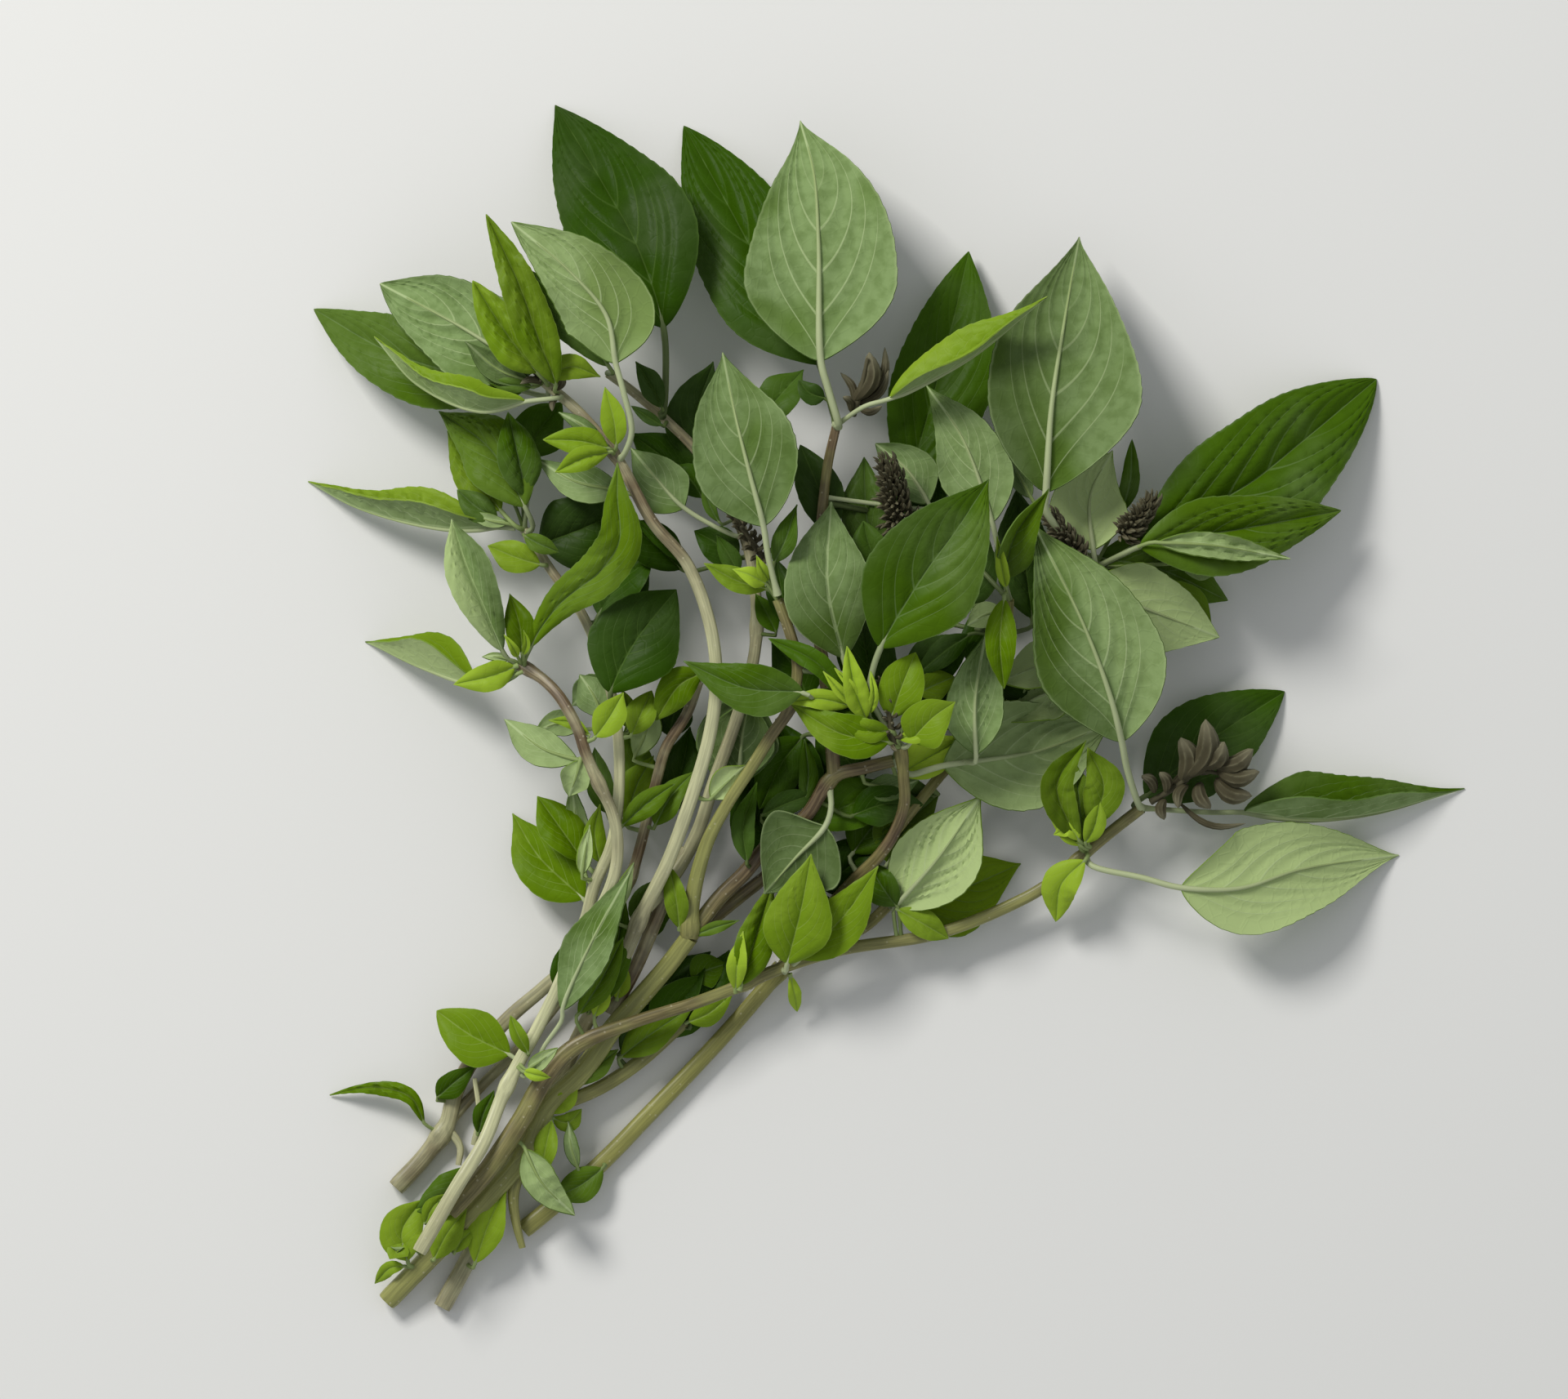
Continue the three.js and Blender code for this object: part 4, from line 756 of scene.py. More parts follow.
# Small leaves of the upper left head
shoots("upper_left_shoots", "green_leaf",
       ("green", 9.4, 8, 0, (-60.3, 74.1, 33), (-68.4, 84.8, 34), (-78.6, 96.5, 32)),
       ("bright", 5.5, 8, 0.4, (-75, 72.8, 32), (-69.3, 75.1, 34), (-63, 73, 32)),
       ("pale", 5.7, -6, -0.35, (-77.4, 71.4, 30.5), (-85.5, 74.6, 31), (-92.8, 80.8, 30.5)),
       ("green", 3.1, 12, 0.2, (-77.4, 70.7, 30.5), (-82.8, 71.2, 31), (-87.7, 71.8, 30)),
       ("pale", 3.1, -6, 0.2, (-61.7, 57.9, 33), (-66.6, 62, 34), (-72.1, 65.1, 34)),
       ("bright", 6.4, 10, 0.3, (-60.6, 57, 34), (-67.1, 58.7, 36), (-75.5, 59.1, 36)),
       ("bright", 5.3, 14, 0.1, (-60.6, 56.4, 35), (-66, 55.3, 37), (-72.8, 51.9, 36.5)),
       ("bright", 5.7, 16, 0.4, (-59.4, 57.3, 34), (-59.9, 63.2, 37), (-61.9, 70.6, 37)),
       ("dark", 5.3, 14, -0.2, (-49.2, 65.8, 26), (-51.6, 70.6, 27), (-55.3, 76.4, 26)),
       ("dark", 2.6, 10, 0, (-49.2, 62.2, 25), (-52.3, 64, 25), (-56.3, 66.7, 24)),
       ("dark", 13.6, 6, 0, (-41, 53.7, 17), (-42.1, 64.5, 17), (-38.3, 76.7, 15)),
       ("dark", 13.2, 6, -0.3, (-39.6, 47.3, 13), (-47.9, 54.7, 13), (-56.6, 61, 12)),
       ("dark", 6.6, 8, 0, (-40.3, 46, 21), (-43.3, 50.5, 21.5), (-47.8, 53.6, 21)),
       ("green", 2.9, 20, 0.2, (-36.6, 40.6, 28), (-39, 45.2, 29), (-40.2, 49.9, 29)))

# Small leaves of the left head
shoots("left_head_shoots", "bright_leaf",
       ("dark", 16.3, 6, -0.4, (-77.7, 36, 14.5), (-68.6, 39.3, 15.5), (-57.3, 44.3, 14.5)),
       ("dark", 11.4, 6, 0.2, (-80.4, 54.7, 13.5), (-76.8, 61.5, 13.5), (-71.8, 67.7, 12.5)),
       ("green", 10.3, 8, 0.1, (-79.3, 46, 24), (-81.3, 55.3, 25.5), (-83.5, 65.3, 23)),
       ("green", 6.1, 12, 0, (-85.4, 41.8, 19), (-90.2, 44.3, 19), (-94.8, 48.3, 17)),
       ("dark", 4, 12, 0.1, (-81.7, 44.2, 21.5), (-84.2, 49.6, 22), (-87.1, 55.4, 21)),
       ("pale", 2.9, -6, 0.5, (-83, 40.7, 20), (-88.4, 41.7, 20), (-92.9, 43.7, 19)),
       ("bright", 7.2, 10, 0.6, (-75.8, 31.6, 22), (-81.1, 33.1, 23), (-88, 35.9, 22)),
       ("green", 4, 10, 0.1, (-80.2, 38.3, 23.5), (-76.6, 36.3, 24.5), (-72.3, 34.5, 23.5)),
       ("bright", 6.8, 14, -0.4, (-80.2, 11.6, 25.5), (-80.9, 18.4, 26), (-83.1, 25.3, 24.5)),
       ("bright", 6.4, 10, 0.9, (-81.3, 9.5, 23.5), (-87.4, 7.1, 25), (-95.5, 5.3, 24)),
       ("pale", 1.8, -6, 0.7, (-82.4, 10.7, 24), (-85.6, 11.4, 25), (-89.2, 11.4, 24)),
       ("pale", 1.3, -6, 0.6, (-80.2, 8.2, 23), (-83.1, 6.8, 23), (-85.7, 4.6, 22)),
       ("bright", 2.2, 25, 0.9, (-81.1, 11.1, 26), (-82.6, 13.9, 29), (-84.2, 16.3, 30)),
       ("bright", 1.8, 25, 0.5, (-80, 11.6, 26), (-79.2, 14.5, 29), (-79.9, 17.3, 30)))

# Small leaves behind the top
shoots("top_background_leaves", "dark_leaf",
       ("dark", 9.2, 8, 0.3, (-29.4, 62.2, 24), (-23.5, 68.9, 24), (-18.3, 74.7, 22)),
       ("dark", 4.8, 14, -0.1, (-13.2, 68.3, 26), (-17.2, 69.7, 27), (-19.4, 72.4, 26)),
       ("dark", 9.7, 6, 0, (-11.4, 37, 20.5), (-14.5, 47.3, 20.5), (-19, 58.2, 18.5)),
       ("dark", 7.5, 6, 0, (-3.1, 38.9, 15.5), (-7.1, 43.8, 15.5), (-10.9, 48.3, 14.5)),
       ("green", 11.4, 8, -0.1, (-0.1, 29.3, 19.5), (-4, 41, 19.5), (-4.9, 55.5, 17.5)),
       ("dark", 7.9, 12, 0.1, (-1.3, 31.4, 23), (-3.7, 35.6, 24), (-5.1, 41.3, 24)),
       ("pale", 11.4, -8, 0, (9.9, 44.3, 20), (4.8, 52.4, 21), (-2.4, 58.5, 19)),
       ("dark", 13.2, 6, -0.2, (11.7, 41.1, 12), (6.3, 50.2, 12), (0, 58.3, 11)),
       ("dark", 13.2, 6, -0.3, (13.6, 19.4, 12), (18.1, 30.3, 12), (21.7, 41.1, 11)))

# Small leaves along the pale middle shoot
shoots("middle_shoot_leaves", "bright_leaf",
       ("green", 5.5, 18, -0.2, (-25.1, 31.5, 33.5), (-22.2, 37.2, 35.5), (-19.7, 44.8, 35.5)),
       ("bright", 4.2, 10, 0.9, (-26.2, 27.2, 34), (-30.1, 29.3, 36.5), (-33.9, 30.6, 36.5)),
       ("bright", 2.9, 18, 0.7, (-25.8, 27.9, 34), (-27.8, 30.9, 37), (-28.7, 33.6, 37)),
       ("bright", 5.3, 14, 0.1, (-25.8, 26.1, 31), (-32.5, 27.9, 32), (-40.2, 31.9, 32)),
       ("dark", 4.8, 8, 0.3, (-24, 16.3, 24), (-26.6, 21.2, 24.5), (-28.9, 25.3, 23.5)),
       ("dark", 6.6, 8, 0, (-22.2, 17.5, 26), (-23.1, 25.6, 26), (-24.4, 32.9, 25)),
       ("dark", 9.9, 6, -0.4, (-44.6, 30.2, 17), (-50.9, 36, 17.5), (-57.3, 41.1, 16.5)),
       ("dark", 2.6, 12, -0.2, (-44.6, 32, 20), (-50.5, 37.4, 20.5), (-56, 42.5, 19.5)),
       ("dark", 8.3, 10, -0.5, (-33.4, 30.2, 19), (-37, 36, 19.5), (-42.4, 39.2, 18.5)),
       ("dark", 4.4, 10, 0.1, (-32.5, 29.3, 21), (-34.7, 33.8, 21.5), (-37.4, 38.3, 21)),
       ("dark", 15.4, 6, 0, (-52.4, 23.9, 13), (-57.8, 26.6, 13), (-63.3, 30.3, 12)),
       ("dark", 15.4, 6, -0.1, (-64.2, 19.4, 12), (-58.8, 30.3, 12.5), (-51.5, 39.3, 11.5)))

# Small leaves beside the pale stems
shoots("beside_stem_leaves", "bright_leaf",
       ("pale", 7.9, -6, 0.4, (-67.2, -11.6, 27), (-75.7, -8.9, 25.5), (-84.4, -2.3, 21)),
       ("pale", 6.6, -6, 0.5, (-67.2, -10.7, 27.5), (-68.3, -14.8, 27.5), (-70, -19.4, 24)),
       ("pale", 5.7, -6, 0.3, (-66.8, -4.6, 18), (-72.2, -3.2, 18), (-78, -5.5, 17)),
       ("pale", 8.3, -6, -0.1, (-62.6, -2.6, 21), (-64.4, 2.6, 22), (-67.7, 7.5, 21)),
       ("bright", 7, 12, 0.6, (-64.5, -6.7, 28), (-61.2, -2.2, 29.5), (-58, 3.5, 28)),
       ("bright", 2.6, 12, 0.4, (-64.9, -6.2, 27), (-69.4, -3.1, 26.5), (-74.4, -2.6, 25)),
       ("bright", 6.6, 12, -0.1, (-56.5, -6.2, 22), (-54.3, -1.4, 22.5), (-51.8, 3.9, 21)),
       ("bright", 9.7, 10, 0, (-66.7, -34.4, 12.5), (-71.4, -27.6, 13), (-77.2, -19.5, 10)),
       ("green", 5.3, 12, 0.3, (-59, -26.4, 20), (-53.2, -21.2, 21), (-46.8, -16.7, 20)),
       ("pale", 7, -6, 1, (-39.2, -20.3, 24), (-35.2, -16.3, 25), (-31.1, -12.5, 24)),
       ("pale", 14.5, -6, -0.3, (-32.5, -17.6, 17), (-32, -7.3, 17.5), (-30.2, 3.2, 16.5)),
       ("dark", 5.3, 20, 0.2, (-30.7, -34.7, 17), (-31.6, -26.1, 18), (-28.6, -16.3, 17)),
       ("green", 9.7, 8, -0.2, (-51.6, -51.2, 4), (-52, -44, 5), (-48.9, -37.6, 5)),
       ("green", 5.3, 8, -0.1, (-53.4, -52.1, 6), (-51.6, -47.5, 7), (-47.6, -43, 7)),
       ("bright", 5.3, 14, 0.1, (-45.7, -49.2, 14.5), (-46.4, -42, 17.5), (-47.9, -34.7, 17)),
       ("green", 2.6, 10, 0.3, (-42.8, -50.3, 14.5), (-38, -48.5, 14.5), (-32.5, -46.9, 13)),
       ("green", 6.1, 12, 0.2, (-51.5, -26.6, 17), (-47.5, -19.4, 18), (-42.5, -14, 17)),
       ("pale", 3.3, -6, 1, (-67.3, -37.4, 18), (-66.6, -32, 19), (-65.5, -25.7, 18)),
       ("pale", 18.4, -6, -0.1, (-28, 3.2, 15), (-32.5, -5.9, 16), (-35.2, -19.4, 15)),
       ("bright", 7.9, 8, -0.05, (-40.2, 8.2, 24), (-45.6, 5.3, 25), (-50.9, -2.6, 22)),
       ("pale", 7, -6, 0, (-60.5, 3.2, 17), (-64.5, 4.6, 18), (-69.5, 0.6, 16)),
       ("bright", 4.4, 12, 0.1, (-56.9, -5, 17), (-57.2, -0.1, 19), (-58.3, 4.1, 19)),
       ("pale", 6.6, -6, 0.7, (-56, -11.3, 14), (-53.3, -5.9, 15), (-51.5, 1.3, 14)),
       ("dark", 8.8, 6, -0.3, (-47.9, -6.8, 13), (-47, -1.4, 14), (-45.2, 3.2, 13)),
       ("dark", 11, 6, -0.5, (-48.8, -24, 11), (-45.2, -13.1, 12), (-43.4, -4.1, 12)),
       ("green", 7.9, 8, 0.8, (-57.9, -25.8, 12), (-55.1, -16.7, 13), (-51.5, -10.4, 13)),
       ("green", 8.8, 6, 0.6, (-51.6, -24, 9), (-55.2, -13.1, 9), (-57, -2.3, 9)),
       ("green", 6.1, 8, 0, (-61.5, -24, 12), (-63.3, -16.7, 13), (-64.5, -8.6, 12)),
       ("bright", 4.8, 8, 0.1, (-63.3, -34.8, 12), (-64.5, -27.6, 13), (-63.3, -21.2, 13)),
       ("pale", 4.8, -6, 0.3, (-66.4, -37.5, 11), (-68.2, -27.6, 12), (-69.6, -16.7, 12)))

# Small leaves of the central crown
shoots("crown_shoots", "bright_leaf",
       ("bright", 4.4, 14, 0.9, (-7.3, 0.5, 33.5), (-14.5, 2.1, 35), (-22.2, 1.4, 34)),
       ("pale", 12.7, -6, 0, (19.7, -11.6, 27), (19.5, 1.4, 28), (21.7, 16.1, 26)),
       ("bright", 10.1, 12, 0.35, (0.7, -2.6, 33), (2.9, 4, 36), (6.3, 12.3, 35)),
       ("bright", 5.7, 25, 0.8, (-4.3, -3, 34), (-7, 4, 37.5), (-8.8, 13.7, 38)),
       ("dark", 4.8, 14, 0.4, (-7.9, 1, 33), (-15.4, 10, 35), (-26, 15.4, 33)),
       ("bright", 2.2, 20, 1, (-6.1, -0.8, 34), (-10.1, 3.5, 37), (-14, 8.2, 38)),
       ("bright", 2.2, 20, 1, (-5.4, -0.8, 34), (-7.9, 4.6, 38), (-11.5, 8.9, 39)),
       ("bright", 2, 20, 1, (-3.9, -1.5, 34), (-2.9, 3.1, 38), (-3.6, 8.2, 39)),
       ("bright", 5.3, 14, 0.3, (1.1, -4.9, 33), (-4.7, -4.6, 35), (-10, -1.9, 34)),
       ("green", 7.5, 10, 0, (-1, -5.8, 31), (-6.4, -0.4, 32), (-18.1, 3.1, 31)),
       ("bright", 3.5, 14, 0.9, (2.2, -6.7, 32), (7, -5.8, 34), (11.5, -4.4, 33)),
       ("dark", 12.3, 6, -0.3, (-15.4, -24, 8), (-19.9, -13.1, 9), (-24.4, -2.3, 9)),
       ("dark", 11, 6, 0.2, (-18.1, -5.9, 13), (-22.6, -11.3, 13), (-28, -22.2, 12)),
       ("green", 4, 8, 0, (-18.1, -21.2, 16), (-17.2, -14.9, 17), (-18.1, -6.8, 17)),
       ("dark", 5.3, 8, 0, (-28, -23.9, 17), (-22.6, -21.2, 17), (-15.4, -18.5, 16)),
       ("dark", 13.2, 6, -0.6, (-22.6, -34.9, 6), (-28, -25.8, 6), (-30.8, -13.1, 6)),
       ("dark", 13.2, 6, -0.5, (-4.5, -16.8, 8), (-9.9, -9.5, 8), (-15.4, -2.3, 8)),
       ("dark", 11.9, 6, -0.2, (8.2, -5.9, 10), (13.6, 1.3, 10), (20.8, 5, 10)),
       ("dark", 11, 6, -0.3, (26.3, -5.9, 8), (28.1, -0.5, 8), (31.7, 6.8, 8)),
       ("dark", 10.1, 6, -0.1, (2.7, 6.8, 14), (9.9, 10.4, 14), (19, 15.8, 14)),
       ("green", 7, 8, 1, (6.3, 3.2, 16), (10.8, 5.3, 16), (15, 7.1, 15)),
       ("bright", 8.8, 10, 1, (2.3, -14.9, 17), (9.9, -10.4, 17.5), (18, -5.9, 17)),
       ("dark", 13.2, 6, -0.1, (-2.4, 0.4, 14), (-4.5, 12.2, 14), (-6.3, 23.9, 14)),
       ("dark", 11.9, 6, -0.1, (-17.2, 1.3, 13), (-19.9, 8.6, 13), (-25.3, 14.9, 13)),
       ("dark", 5.7, 8, -0.1, (18.9, 16.7, 18), (13.5, 13.1, 18), (6.3, 7.1, 17)),
       ("pale", 12.3, -6, 0.7, (44.2, 4.1, 15), (35.2, 3.2, 15), (23.5, -3.2, 15)),
       ("green", 12.3, 8, 0, (-8.1, -33, 9), (-0.9, -24, 10), (8.2, -18.6, 10)),
       ("green", 9.7, 8, 0.1, (11.7, -19.4, 12), (2.7, -19.4, 12), (-7.2, -21.3, 12)),
       ("dark", 13.2, 6, -0.4, (-15.4, -40.3, 8), (-8.1, -34.9, 8), (-0.9, -27.6, 8)))

# Small leaves of the right heads
shoots("right_head_shoots", "bright_leaf",
       ("dark", 13.2, 6, -0.1, (32.5, 18.5, 12), (30.7, 32.1, 12), (28.9, 48.4, 12)),
       ("pale", 5.3, -6, 0.6, (58.3, 36.6, 30), (71.7, 35.9, 30), (89, 33, 25)),
       ("bright", 2.9, 25, 0.9, (26.3, 26.1, 31), (25.1, 31.8, 35), (24.2, 37.8, 36)),
       ("bright", 6.8, 14, 0, (25.9, 25.2, 32), (24.8, 14.8, 35.5), (25.7, 4.4, 33)),
       ("pale", 5.7, -6, 0.6, (26.4, 21.7, 20.5), (22.1, 20.8, 20.5), (17.8, 18.3, 19)),
       ("pale", 4.8, -6, -0.1, (32.2, 46, 22), (30, 50, 22), (27.1, 55.1, 21)),
       ("green", 4, 8, 0, (51.7, 42.5, 18), (53.9, 50.1, 18), (54.3, 59.5, 17)),
       ("pale", 7.5, -6, 0.1, (64.1, 32.1, 14), (69.9, 32.1, 12.5), (75.3, 31.6, 10)),
       ("green", 8.8, 8, 0.5, (56.9, 26.3, 13), (66, 23.4, 10.5), (72.3, 18.4, 6.5)),
       ("pale", 11.4, -6, 0.8, (44.1, 7.1, 21), (35.1, 9.5, 21), (24.7, 5.7, 19)),
       ("dark", 13.2, 6, -0.2, (17.2, 12.2, 13), (23.5, 6.8, 14), (33.4, 3.2, 13)),
       ("dark", 11, 6, 0.2, (19.8, 23, 15), (21.6, 14.9, 15), (20.8, 6.8, 14)))

# Small leaves of the largest spike's shoot
shoots("lowest_right_shoots", "bright_leaf",
       ("bright", 7.9, 10, 0.8, (44.6, -33, 14), (38.9, -38.8, 12), (37.7, -47.2, 7)),
       ("bright", 4.8, 16, 0.5, (43.8, -30.1, 16), (46.1, -25.7, 18), (47.2, -20.3, 18)),
       ("bright", 3.1, 10, 0.7, (43.3, -30.6, 16), (39.7, -27.5, 17), (36.4, -24.5, 17)),
       ("bright", 4, 14, 1, (42.7, -29.3, 17), (40.5, -26.6, 18), (37, -27.9, 17)),
       ("green", 8.8, 14, 0.7, (43.4, -31.2, 12.5), (42.8, -22.1, 13), (41.7, -12.2, 13)))

# Small leaves under the right stems
shoots("low_shoots", "bright_leaf",
       ("green", 12.3, 8, 0.3, (0, -35.2, 9), (3.6, -26.7, 10), (11.8, -18.9, 11)),
       ("bright", 6.1, 10, 0.3, (1.8, -44.2, 12), (8.1, -47.6, 12), (13.8, -50.9, 9.5)),
       ("green", 7.5, 14, -0.1, (2.7, -44.2, 12), (-0.9, -39.3, 13), (-4.2, -33.5, 12)),
       ("bright", 8.8, 22, -0.1, (-32.5, -62.4, 13.5), (-29.1, -51, 15), (-25.3, -39.3, 14)),
       ("bright", 2.9, 10, 0.9, (-21.3, -58.7, 11), (-20.4, -62.9, 9), (-19.7, -67.2, 4)),
       ("bright", 4.4, 14, 0.8, (-33.4, -62.8, 13), (-32.9, -56.4, 17), (-31.6, -49.2, 17.5)),
       ("dark", 11, 6, 0.5, (-18.1, -26.6, 15), (-8.2, -21.2, 15), (2.7, -17.6, 14)),
       ("dark", 8.8, 6, 0.2, (-8.2, -23.9, 17), (-0.9, -21.2, 17.5), (8.1, -21.2, 16)),
       ("pale", 6.6, -6, 0, (-4.6, -16.7, 17), (0.9, -17.6, 17.5), (7.2, -15.8, 17)))

# Small leaves on the bare stems
shoots("stem_shoots", "bright_leaf",
       ("green", 6.1, 10, 0.2, (-68.6, -68.3, 18.5), (-63.2, -60.3, 20), (-58.1, -50.6, 19)),
       ("pale", 3.1, -6, 0.7, (-60.2, -46.9, 15.5), (-58.3, -40.5, 16.5), (-55.8, -34, 15.5)),
       ("bright", 3.5, 16, 0.4, (-78.9, -76.5, 20), (-81.2, -72.2, 22), (-83, -67.7, 21)),
       ("pale", 3.5, -6, 0.8, (-79.4, -79.8, 20), (-76.5, -77.9, 22), (-72.5, -74.9, 21)),
       ("bright", 2.6, 14, 0.8, (-80.3, -80.1, 20), (-77.4, -80.8, 22), (-74.1, -81.4, 21)),
       ("green", 5.7, 10, -0.1, (-100, -86.7, 6), (-95.9, -83, 7.5), (-90.9, -79.2, 7)),
       ("bright", 3.1, 10, 0, (-102.3, -92.2, 5), (-105.4, -86.3, 7), (-112.8, -84.2, 5),
        (-123.5, -85.9, 0.6)),
       ("bright", 9.9, 10, 0.5, (-105.9, -123.2, 8), (-107.3, -115.9, 9.5), (-102.9, -108.9, 9)),
       ("bright", 3.1, 10, 0.3, (-106.4, -123.6, 7.5), (-109.9, -124.1, 7), (-113.4, -127.6, 3)),
       ("bright", 7.5, 12, 0.4, (-91.4, -123.9, 7.5), (-88.3, -114.8, 9), (-83.9, -105.1, 9)),
       ("pale", 7.2, -6, 0.3, (-80.3, -96.6, 13), (-76.2, -104.8, 15), (-68.9, -112.2, 12)),
       ("bright", 5.9, 12, 0.2, (-76.3, -104, 9), (-75.4, -97.8, 11), (-74, -91.1, 11)),
       ("pale", 3.1, -6, 0.3, (-68.2, -102.5, 6), (-69.7, -97.3, 8.5), (-70.4, -91.5, 9)),
       ("green", 7.5, 8, 0.1, (-62.3, -101.6, 5), (-67.5, -105.6, 5), (-73.5, -108.5, 4)),
       ("dark", 13.2, 6, 0.2, (-52.5, -73.9, 5), (-44.7, -65.3, 5), (-34.7, -60.3, 4)),
       ("dark", 9.2, 6, 0, (-59.4, -76.9, 5.5), (-53.4, -70.2, 6), (-47.6, -64.8, 6)),
       ("dark", 10.1, 6, -0.1, (-44, -71.5, 4.5), (-39.3, -63, 5), (-34.7, -53.6, 5)),
       ("bright", 4.4, 14, 0.3, (-106.8, -118.1, 9), (-108.2, -120.8, 10), (-109.8, -117.2, 9)),
       ("bright", 4, 14, 0.3, (-102.2, -114.4, 10), (-100.7, -110.8, 11), (-97.7, -107.6, 10)),
       ("green", 7.5, 8, -0.1, (-66, -67.4, 12), (-60.5, -56.5, 14), (-57.8, -42, 14)),
       ("bright", 4.4, 10, 0.4, (-59.7, -64.7, 10), (-58.8, -61, 11), (-58, -56.5, 11)),
       ("dark", 3.5, 10, 0.2, (-72.5, -62.8, 12), (-72.5, -57.4, 13), (-71.4, -52, 12)),
       ("dark", 12.3, 6, -0.3, (-51.6, -71.2, 3.5), (-46.2, -62.1, 3.5), (-38.9, -54, 3.5)),
       ("green", 7.9, 8, -0.1, (-43.4, -60.2, 6), (-40.7, -58.4, 6), (-35.3, -56.6, 5)),
       ("green", 4.4, 8, -0.1, (-90.4, -94.5, 11), (-89.1, -89.4, 13), (-86.8, -84.5, 13)),
       ("bright", 4.8, 8, 0.4, (-74.7, -90, 9), (-71.1, -86.4, 10), (-68.9, -81.5, 9)),
       ("bright", 4.4, 8, 0, (-74.2, -90.6, 8), (-70.6, -91.7, 8), (-67.5, -88.8, 7)),
       ("green", 5.3, 8, 0.4, (-69.7, -83.7, 8), (-64.6, -79.7, 9), (-59.3, -75.6, 8)),
       ("bright", 4.4, 8, 0.9, (-64.7, -68.5, 16), (-63.2, -64.5, 17), (-63.8, -58.2, 16)),
       ("green", 7.5, 8, 0.7, (-59.4, -77.8, 7), (-52.5, -72.5, 8), (-42.5, -65.7, 7)),
       ("bright", 5.3, 8, 0, (-44.3, -69.7, 6), (-39.3, -67.5, 7), (-34, -63.1, 6)),
       ("green", 7.9, 8, 0, (-91.7, -100.9, 9), (-96.4, -106.7, 10), (-104.9, -111.8, 9)),
       ("bright", 6.6, 8, 0.4, (-100.4, -122.6, 9), (-97.1, -116.2, 10.5), (-92.8, -110.8, 10.5)),
       ("bright", 3.5, 8, 0.3, (-95.7, -120.8, 9), (-93.9, -117.7, 10), (-91.4, -115.4, 9)))

# ---- Flower spikes ----
# The flowers have dropped and left whorls of grey brown calyces round a hairy stalk: ribbed bells drawn out
# to a point. On the older spikes they are long and stand apart, on the tight young ones like bristles.

CALYX_SIDE = (0.31, 0.17, 0.93)
CALYX_LEVELS = [0, 0.1, 0.35, 0.7, 0.88, 1]
CALYX_WIDTHS = [0.35, 0.75, 1, 0.95, 0.6, 0.05]
CALYX_RIB = 0.14
CALYX_BEND = 0.18
SPIKE_RADIUS = 0.75
BRISTLE_TURN = 137.5
FLOWER_SMOOTH = 60


def flower_finish(name, deep, body, tip, roughness):
    """Painted shade, dark in the grooves between the ribs and towards the foot; paler along the ribs and at
    the tips.
    """
    material, shader = new_material(name, {"Roughness": roughness, "Specular IOR Level": 0.2})
    mottle = noise(material, own_place(material), 480, 5)
    colour = mix(material, fade(material, mark_value(material, "ribbed"), 0.2, 0.9), (*deep, 1), (*body, 1))
    colour = mix(material, number(material, "MULTIPLY", fade(material, mottle, 0.42, 0.60), 0.7), colour,
                 (*deep, 1))
    colour = mix(material, mark_value(material, "lipward"), colour, (*tip, 1))
    return end_finish(material, shader, colour, mottle, 0.6)


calyx_skin = flower_finish("calyx_skin", (0.062, 0.054, 0.028), (0.155, 0.145, 0.085),
                           (0.25, 0.235, 0.15), 0.75)


def add_calyx(name, foot, tip, width, ribs=8):
    """One closed bell from foot to tip: a narrow foot, a round ribbed body, and lips drawn out to a point."""
    foot, tip = np.array(foot, float), np.array(tip, float)
    length = np.linalg.norm(tip - foot)
    axis = (tip - foot) / length
    side = np.cross(axis, CALYX_SIDE)
    side /= np.linalg.norm(side)
    other = np.cross(axis, side)
    along = np.linspace(0, 1, 10)[:, None]
    turns = np.linspace(0, 2 * math.pi, 2 * ribs + 1)
    swell = np.interp(along, CALYX_LEVELS, CALYX_WIDTHS)
    ribbed = 0.5 + 0.5 * np.cos(ribs * turns)
    reach = width / 2 * swell * (1 - CALYX_RIB + CALYX_RIB * ribbed)
    bend = side * (CALYX_BEND * length * np.sin(math.pi * along))[..., None]
    corners = (foot + axis * (length * along)[..., None] + bend + side * (reach * np.cos(turns))[..., None]
               + other * (reach * np.sin(turns))[..., None])
    ends = [np.broadcast_to(corners[k].mean(axis=0), (1, len(turns), 3)) for k in (0, -1)]
    corners = np.concatenate([ends[0], corners, ends[1]])
    along = np.concatenate([[[0]], along, [[1]]])
    # The ribbed mark paints shade in the grooves between the ribs and, through the share along, towards the
    # foot.
    marks = {"lipward": np.clip((along - 0.6) * 1.6, 0, 0.8) * (0.6 if ribs == 4 else 1),
             "ribbed": ribbed[None, :] * (0.35 + 0.65 * along)}
    return close_skin(add_grid(name, corners, marks))


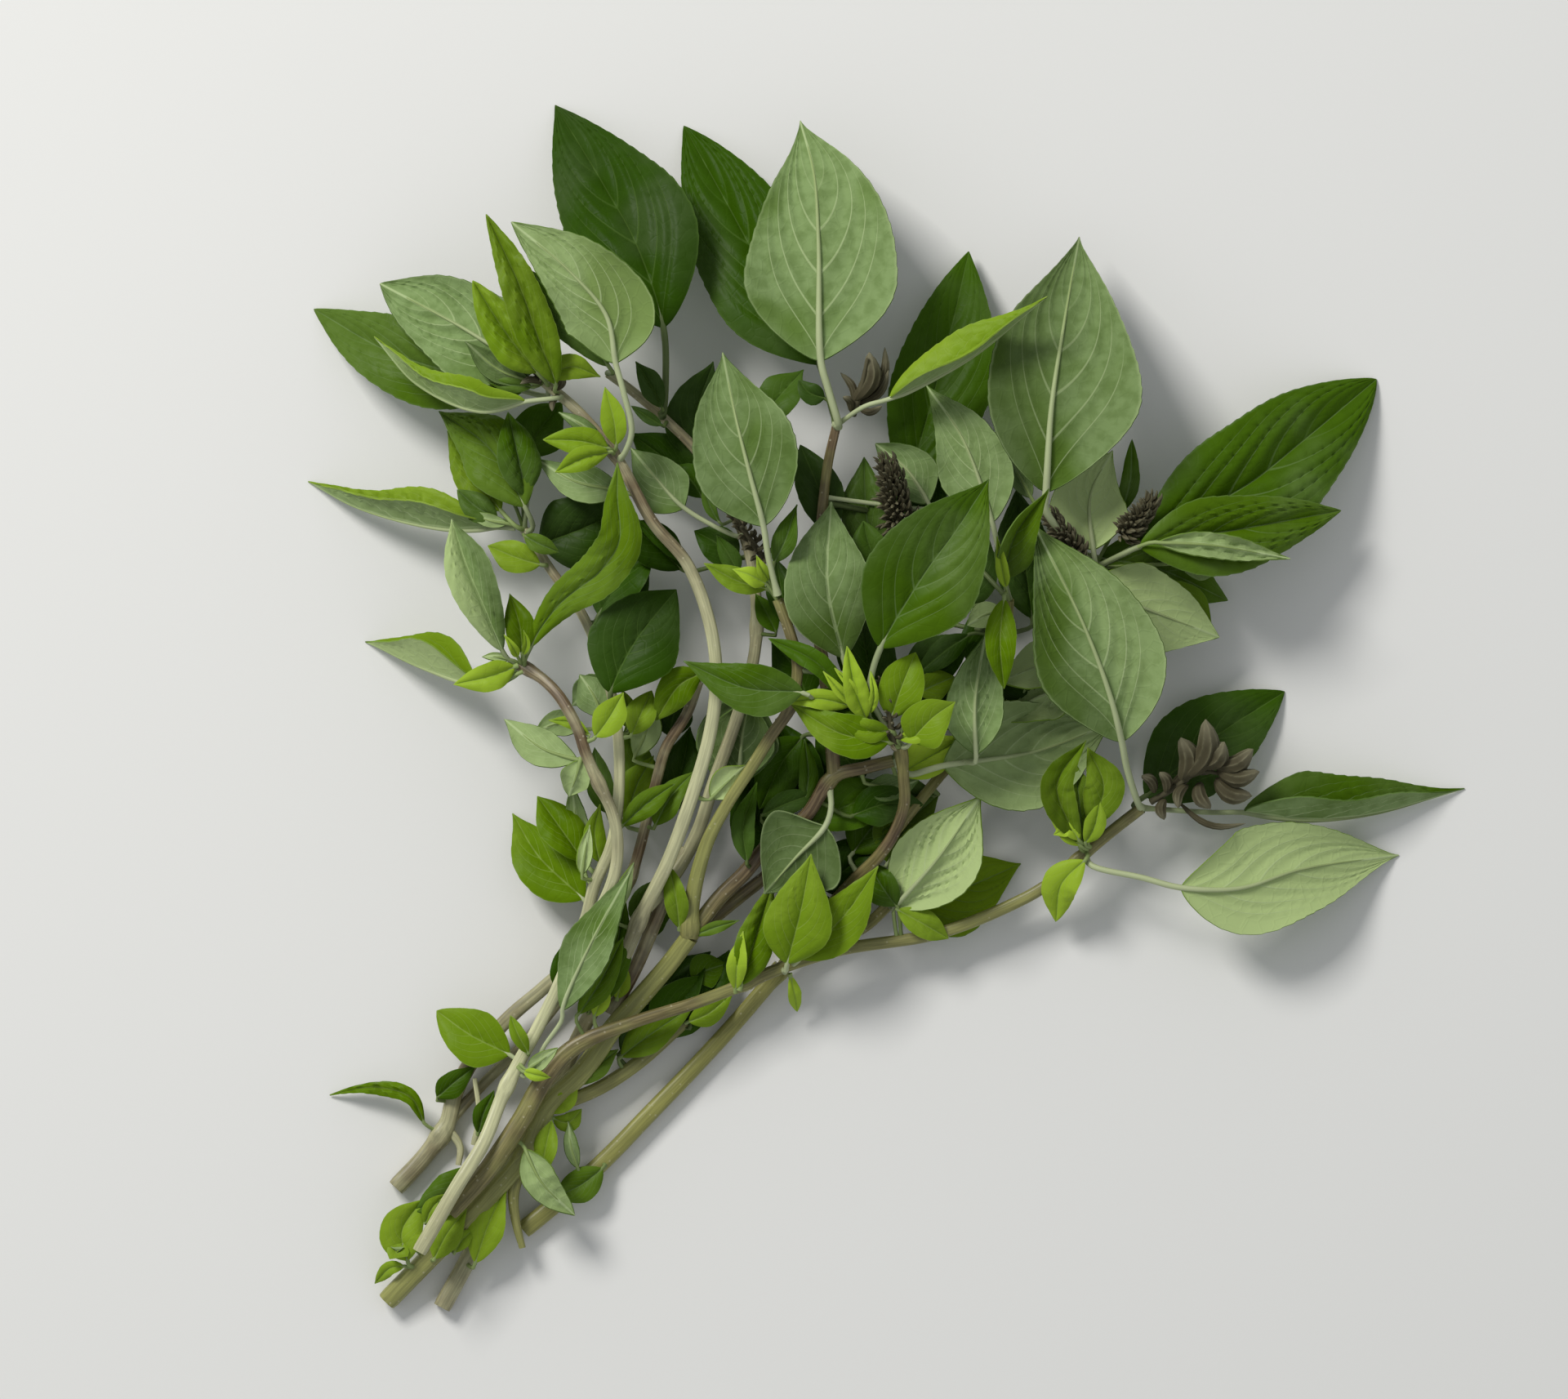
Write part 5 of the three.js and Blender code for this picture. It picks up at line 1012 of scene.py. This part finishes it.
def flower_spike(name, points, *calyces, bristles=0, bristle_size=(3.4, 1.1), reach=3, node=True):
    """The stalk, the calyces given one by one as foot, tip and width, and that many bristles all along it."""
    path = path_through(points)
    samples, shares, _, _ = path
    chance = np.random.default_rng(list(name.encode()))
    ring = np.linspace(0, 1, 12)
    marks = {"lipward": ring * 0 + 0.15, "ribbed": ring * 0 + 0.3}
    parts = [add_tube(name, path, ring, SPIKE_RADIUS * (1 - 0.5 * ring), np.ones(8), np.zeros(12), marks)]
    for foot, tip, width in calyces:
        parts.append(add_calyx(name, foot, tip, width))
    at = (np.arange(bristles) + 0.5) / max(bristles, 1)
    places, sides, normals = frames_along(samples, shares, at, BRISTLE_TURN * np.arange(bristles))
    forward = np.cross(sides, normals)
    for place, out, ahead, share in zip(places, normals, forward, at):
        size = (1.0 - 0.3 * share) * (0.8 + 0.4 * chance.random())
        foot = place + out * 0.3 * reach
        tip = foot + (out * (1.1 - 0.8 * share) + ahead * (0.35 + share)) * bristle_size[0] * size * 0.75
        tip += chance.normal(0, 0.35, 3)
        parts.append(add_calyx(name, foot, tip, bristle_size[1] * size, ribs=4))
    piece = join_pieces(name + "_calyces", parts)
    piece.data.materials.clear()
    piece.data.materials.append(calyx_skin)
    smooth_piece(piece, FLOWER_SMOOTH)
    declare(piece, name if node else None)


flower_spike("top_flower_spike", [(-7.4, 64.6, 25.5), (-6, 69, 28), (-4.2, 77, 31)],
             ((-6.6, 68, 27.5), (-3.8, 78.4, 30), 4.4), ((-7.2, 66, 26.5), (-10.2, 74, 27), 2),
             ((-6.4, 67, 26), (0.4, 74.5, 27), 2), ((-6, 66, 26.5), (-1, 66.6, 29), 1.8),
             ((-7.8, 65.5, 27), (-9.6, 68.6, 30.5), 1.8), ((-5.4, 68, 26), (-0.4, 79.6, 26.5), 2.2))
flower_spike("middle_flower_spike", [(3.5, 38.3, 22), (1.5, 46, 26), (-0.1, 53.6, 30)], bristles=170,
             bristle_size=(4.4, 1.0), reach=5)
flower_spike("right_flower_spike", [(42, 33, 25), (39, 37.5, 26.5), (35.9, 42, 27.5)], bristles=110,
             bristle_size=(4, 1))
flower_spike("outer_flower_spike", [(52.2, 38, 23), (55, 41.5, 25.5), (57.8, 45.5, 28)], bristles=110,
             bristle_size=(4, 1))
flower_spike("largest_flower_spike", [(58.5, -20.7, 14.2), (63.8, -17.5, 16), (69.2, -14, 18),
                                      (75, -14.6, 17.5)],
             ((65.6, -15.6, 19), (65, -6.4, 22), 5), ((66.6, -15, 19.5), (70.4, -2.4, 24), 5.4),
             ((69.5, -12.6, 19.5), (74.6, -7.4, 22), 5), ((72.4, -12.6, 19), (81, -9, 20), 4.4),
             ((73, -13.6, 18.5), (82.4, -14, 19.5), 4.2), ((72.6, -15.8, 17.5), (80.8, -19.4, 17.5), 4.4),
             ((69, -16.4, 17), (71.6, -22.2, 18), 3.6), ((66.4, -16.8, 17), (64.4, -22, 18.5), 2.6),
             ((62, -18.4, 17), (60.4, -14, 19.5), 2.6), ((59.4, -18.4, 16), (56.4, -14.8, 19), 2.6),
             ((61.4, -20, 15.5), (61.4, -24.6, 16), 2.7), ((65, -21, 15.5), (79.6, -25.4, 14.4), 1.6),
             ((62.6, -17.6, 14), (66.8, -11, 13), 3), ((68, -14, 15), (73, -10, 13), 3))
flower_spike("dark_bristly_spike", [(-27, 33, 24), (-32, 40, 28), (-36.4, 47, 30)], bristles=45,
             bristle_size=(2.6, 1), reach=2.5, node=False)
flower_spike("crown_bud", [(1.6, -8, 30.5), (0.4, -1, 34), (-1.4, 6, 36)], bristles=26, bristle_size=(2.6, 1),
             reach=2, node=False)
flower_spike("withered_flowers", [(-75.7, 72.4, 29.6), (-77, 73.6, 30.5), (-78.6, 75, 31)],
             ((-77, 73.4, 31), (-79.6, 78, 32.5), 1.8), ((-76, 71.6, 31), (-80.6, 71.4, 33), 1.6),
             ((-73.6, 70, 30.6), (-71, 73.6, 33), 1.8), ((-72, 69, 30), (-73.6, 65.4, 32), 1.6), bristles=10,
             bristle_size=(2.2, 0.8), reach=1.5, node=False)
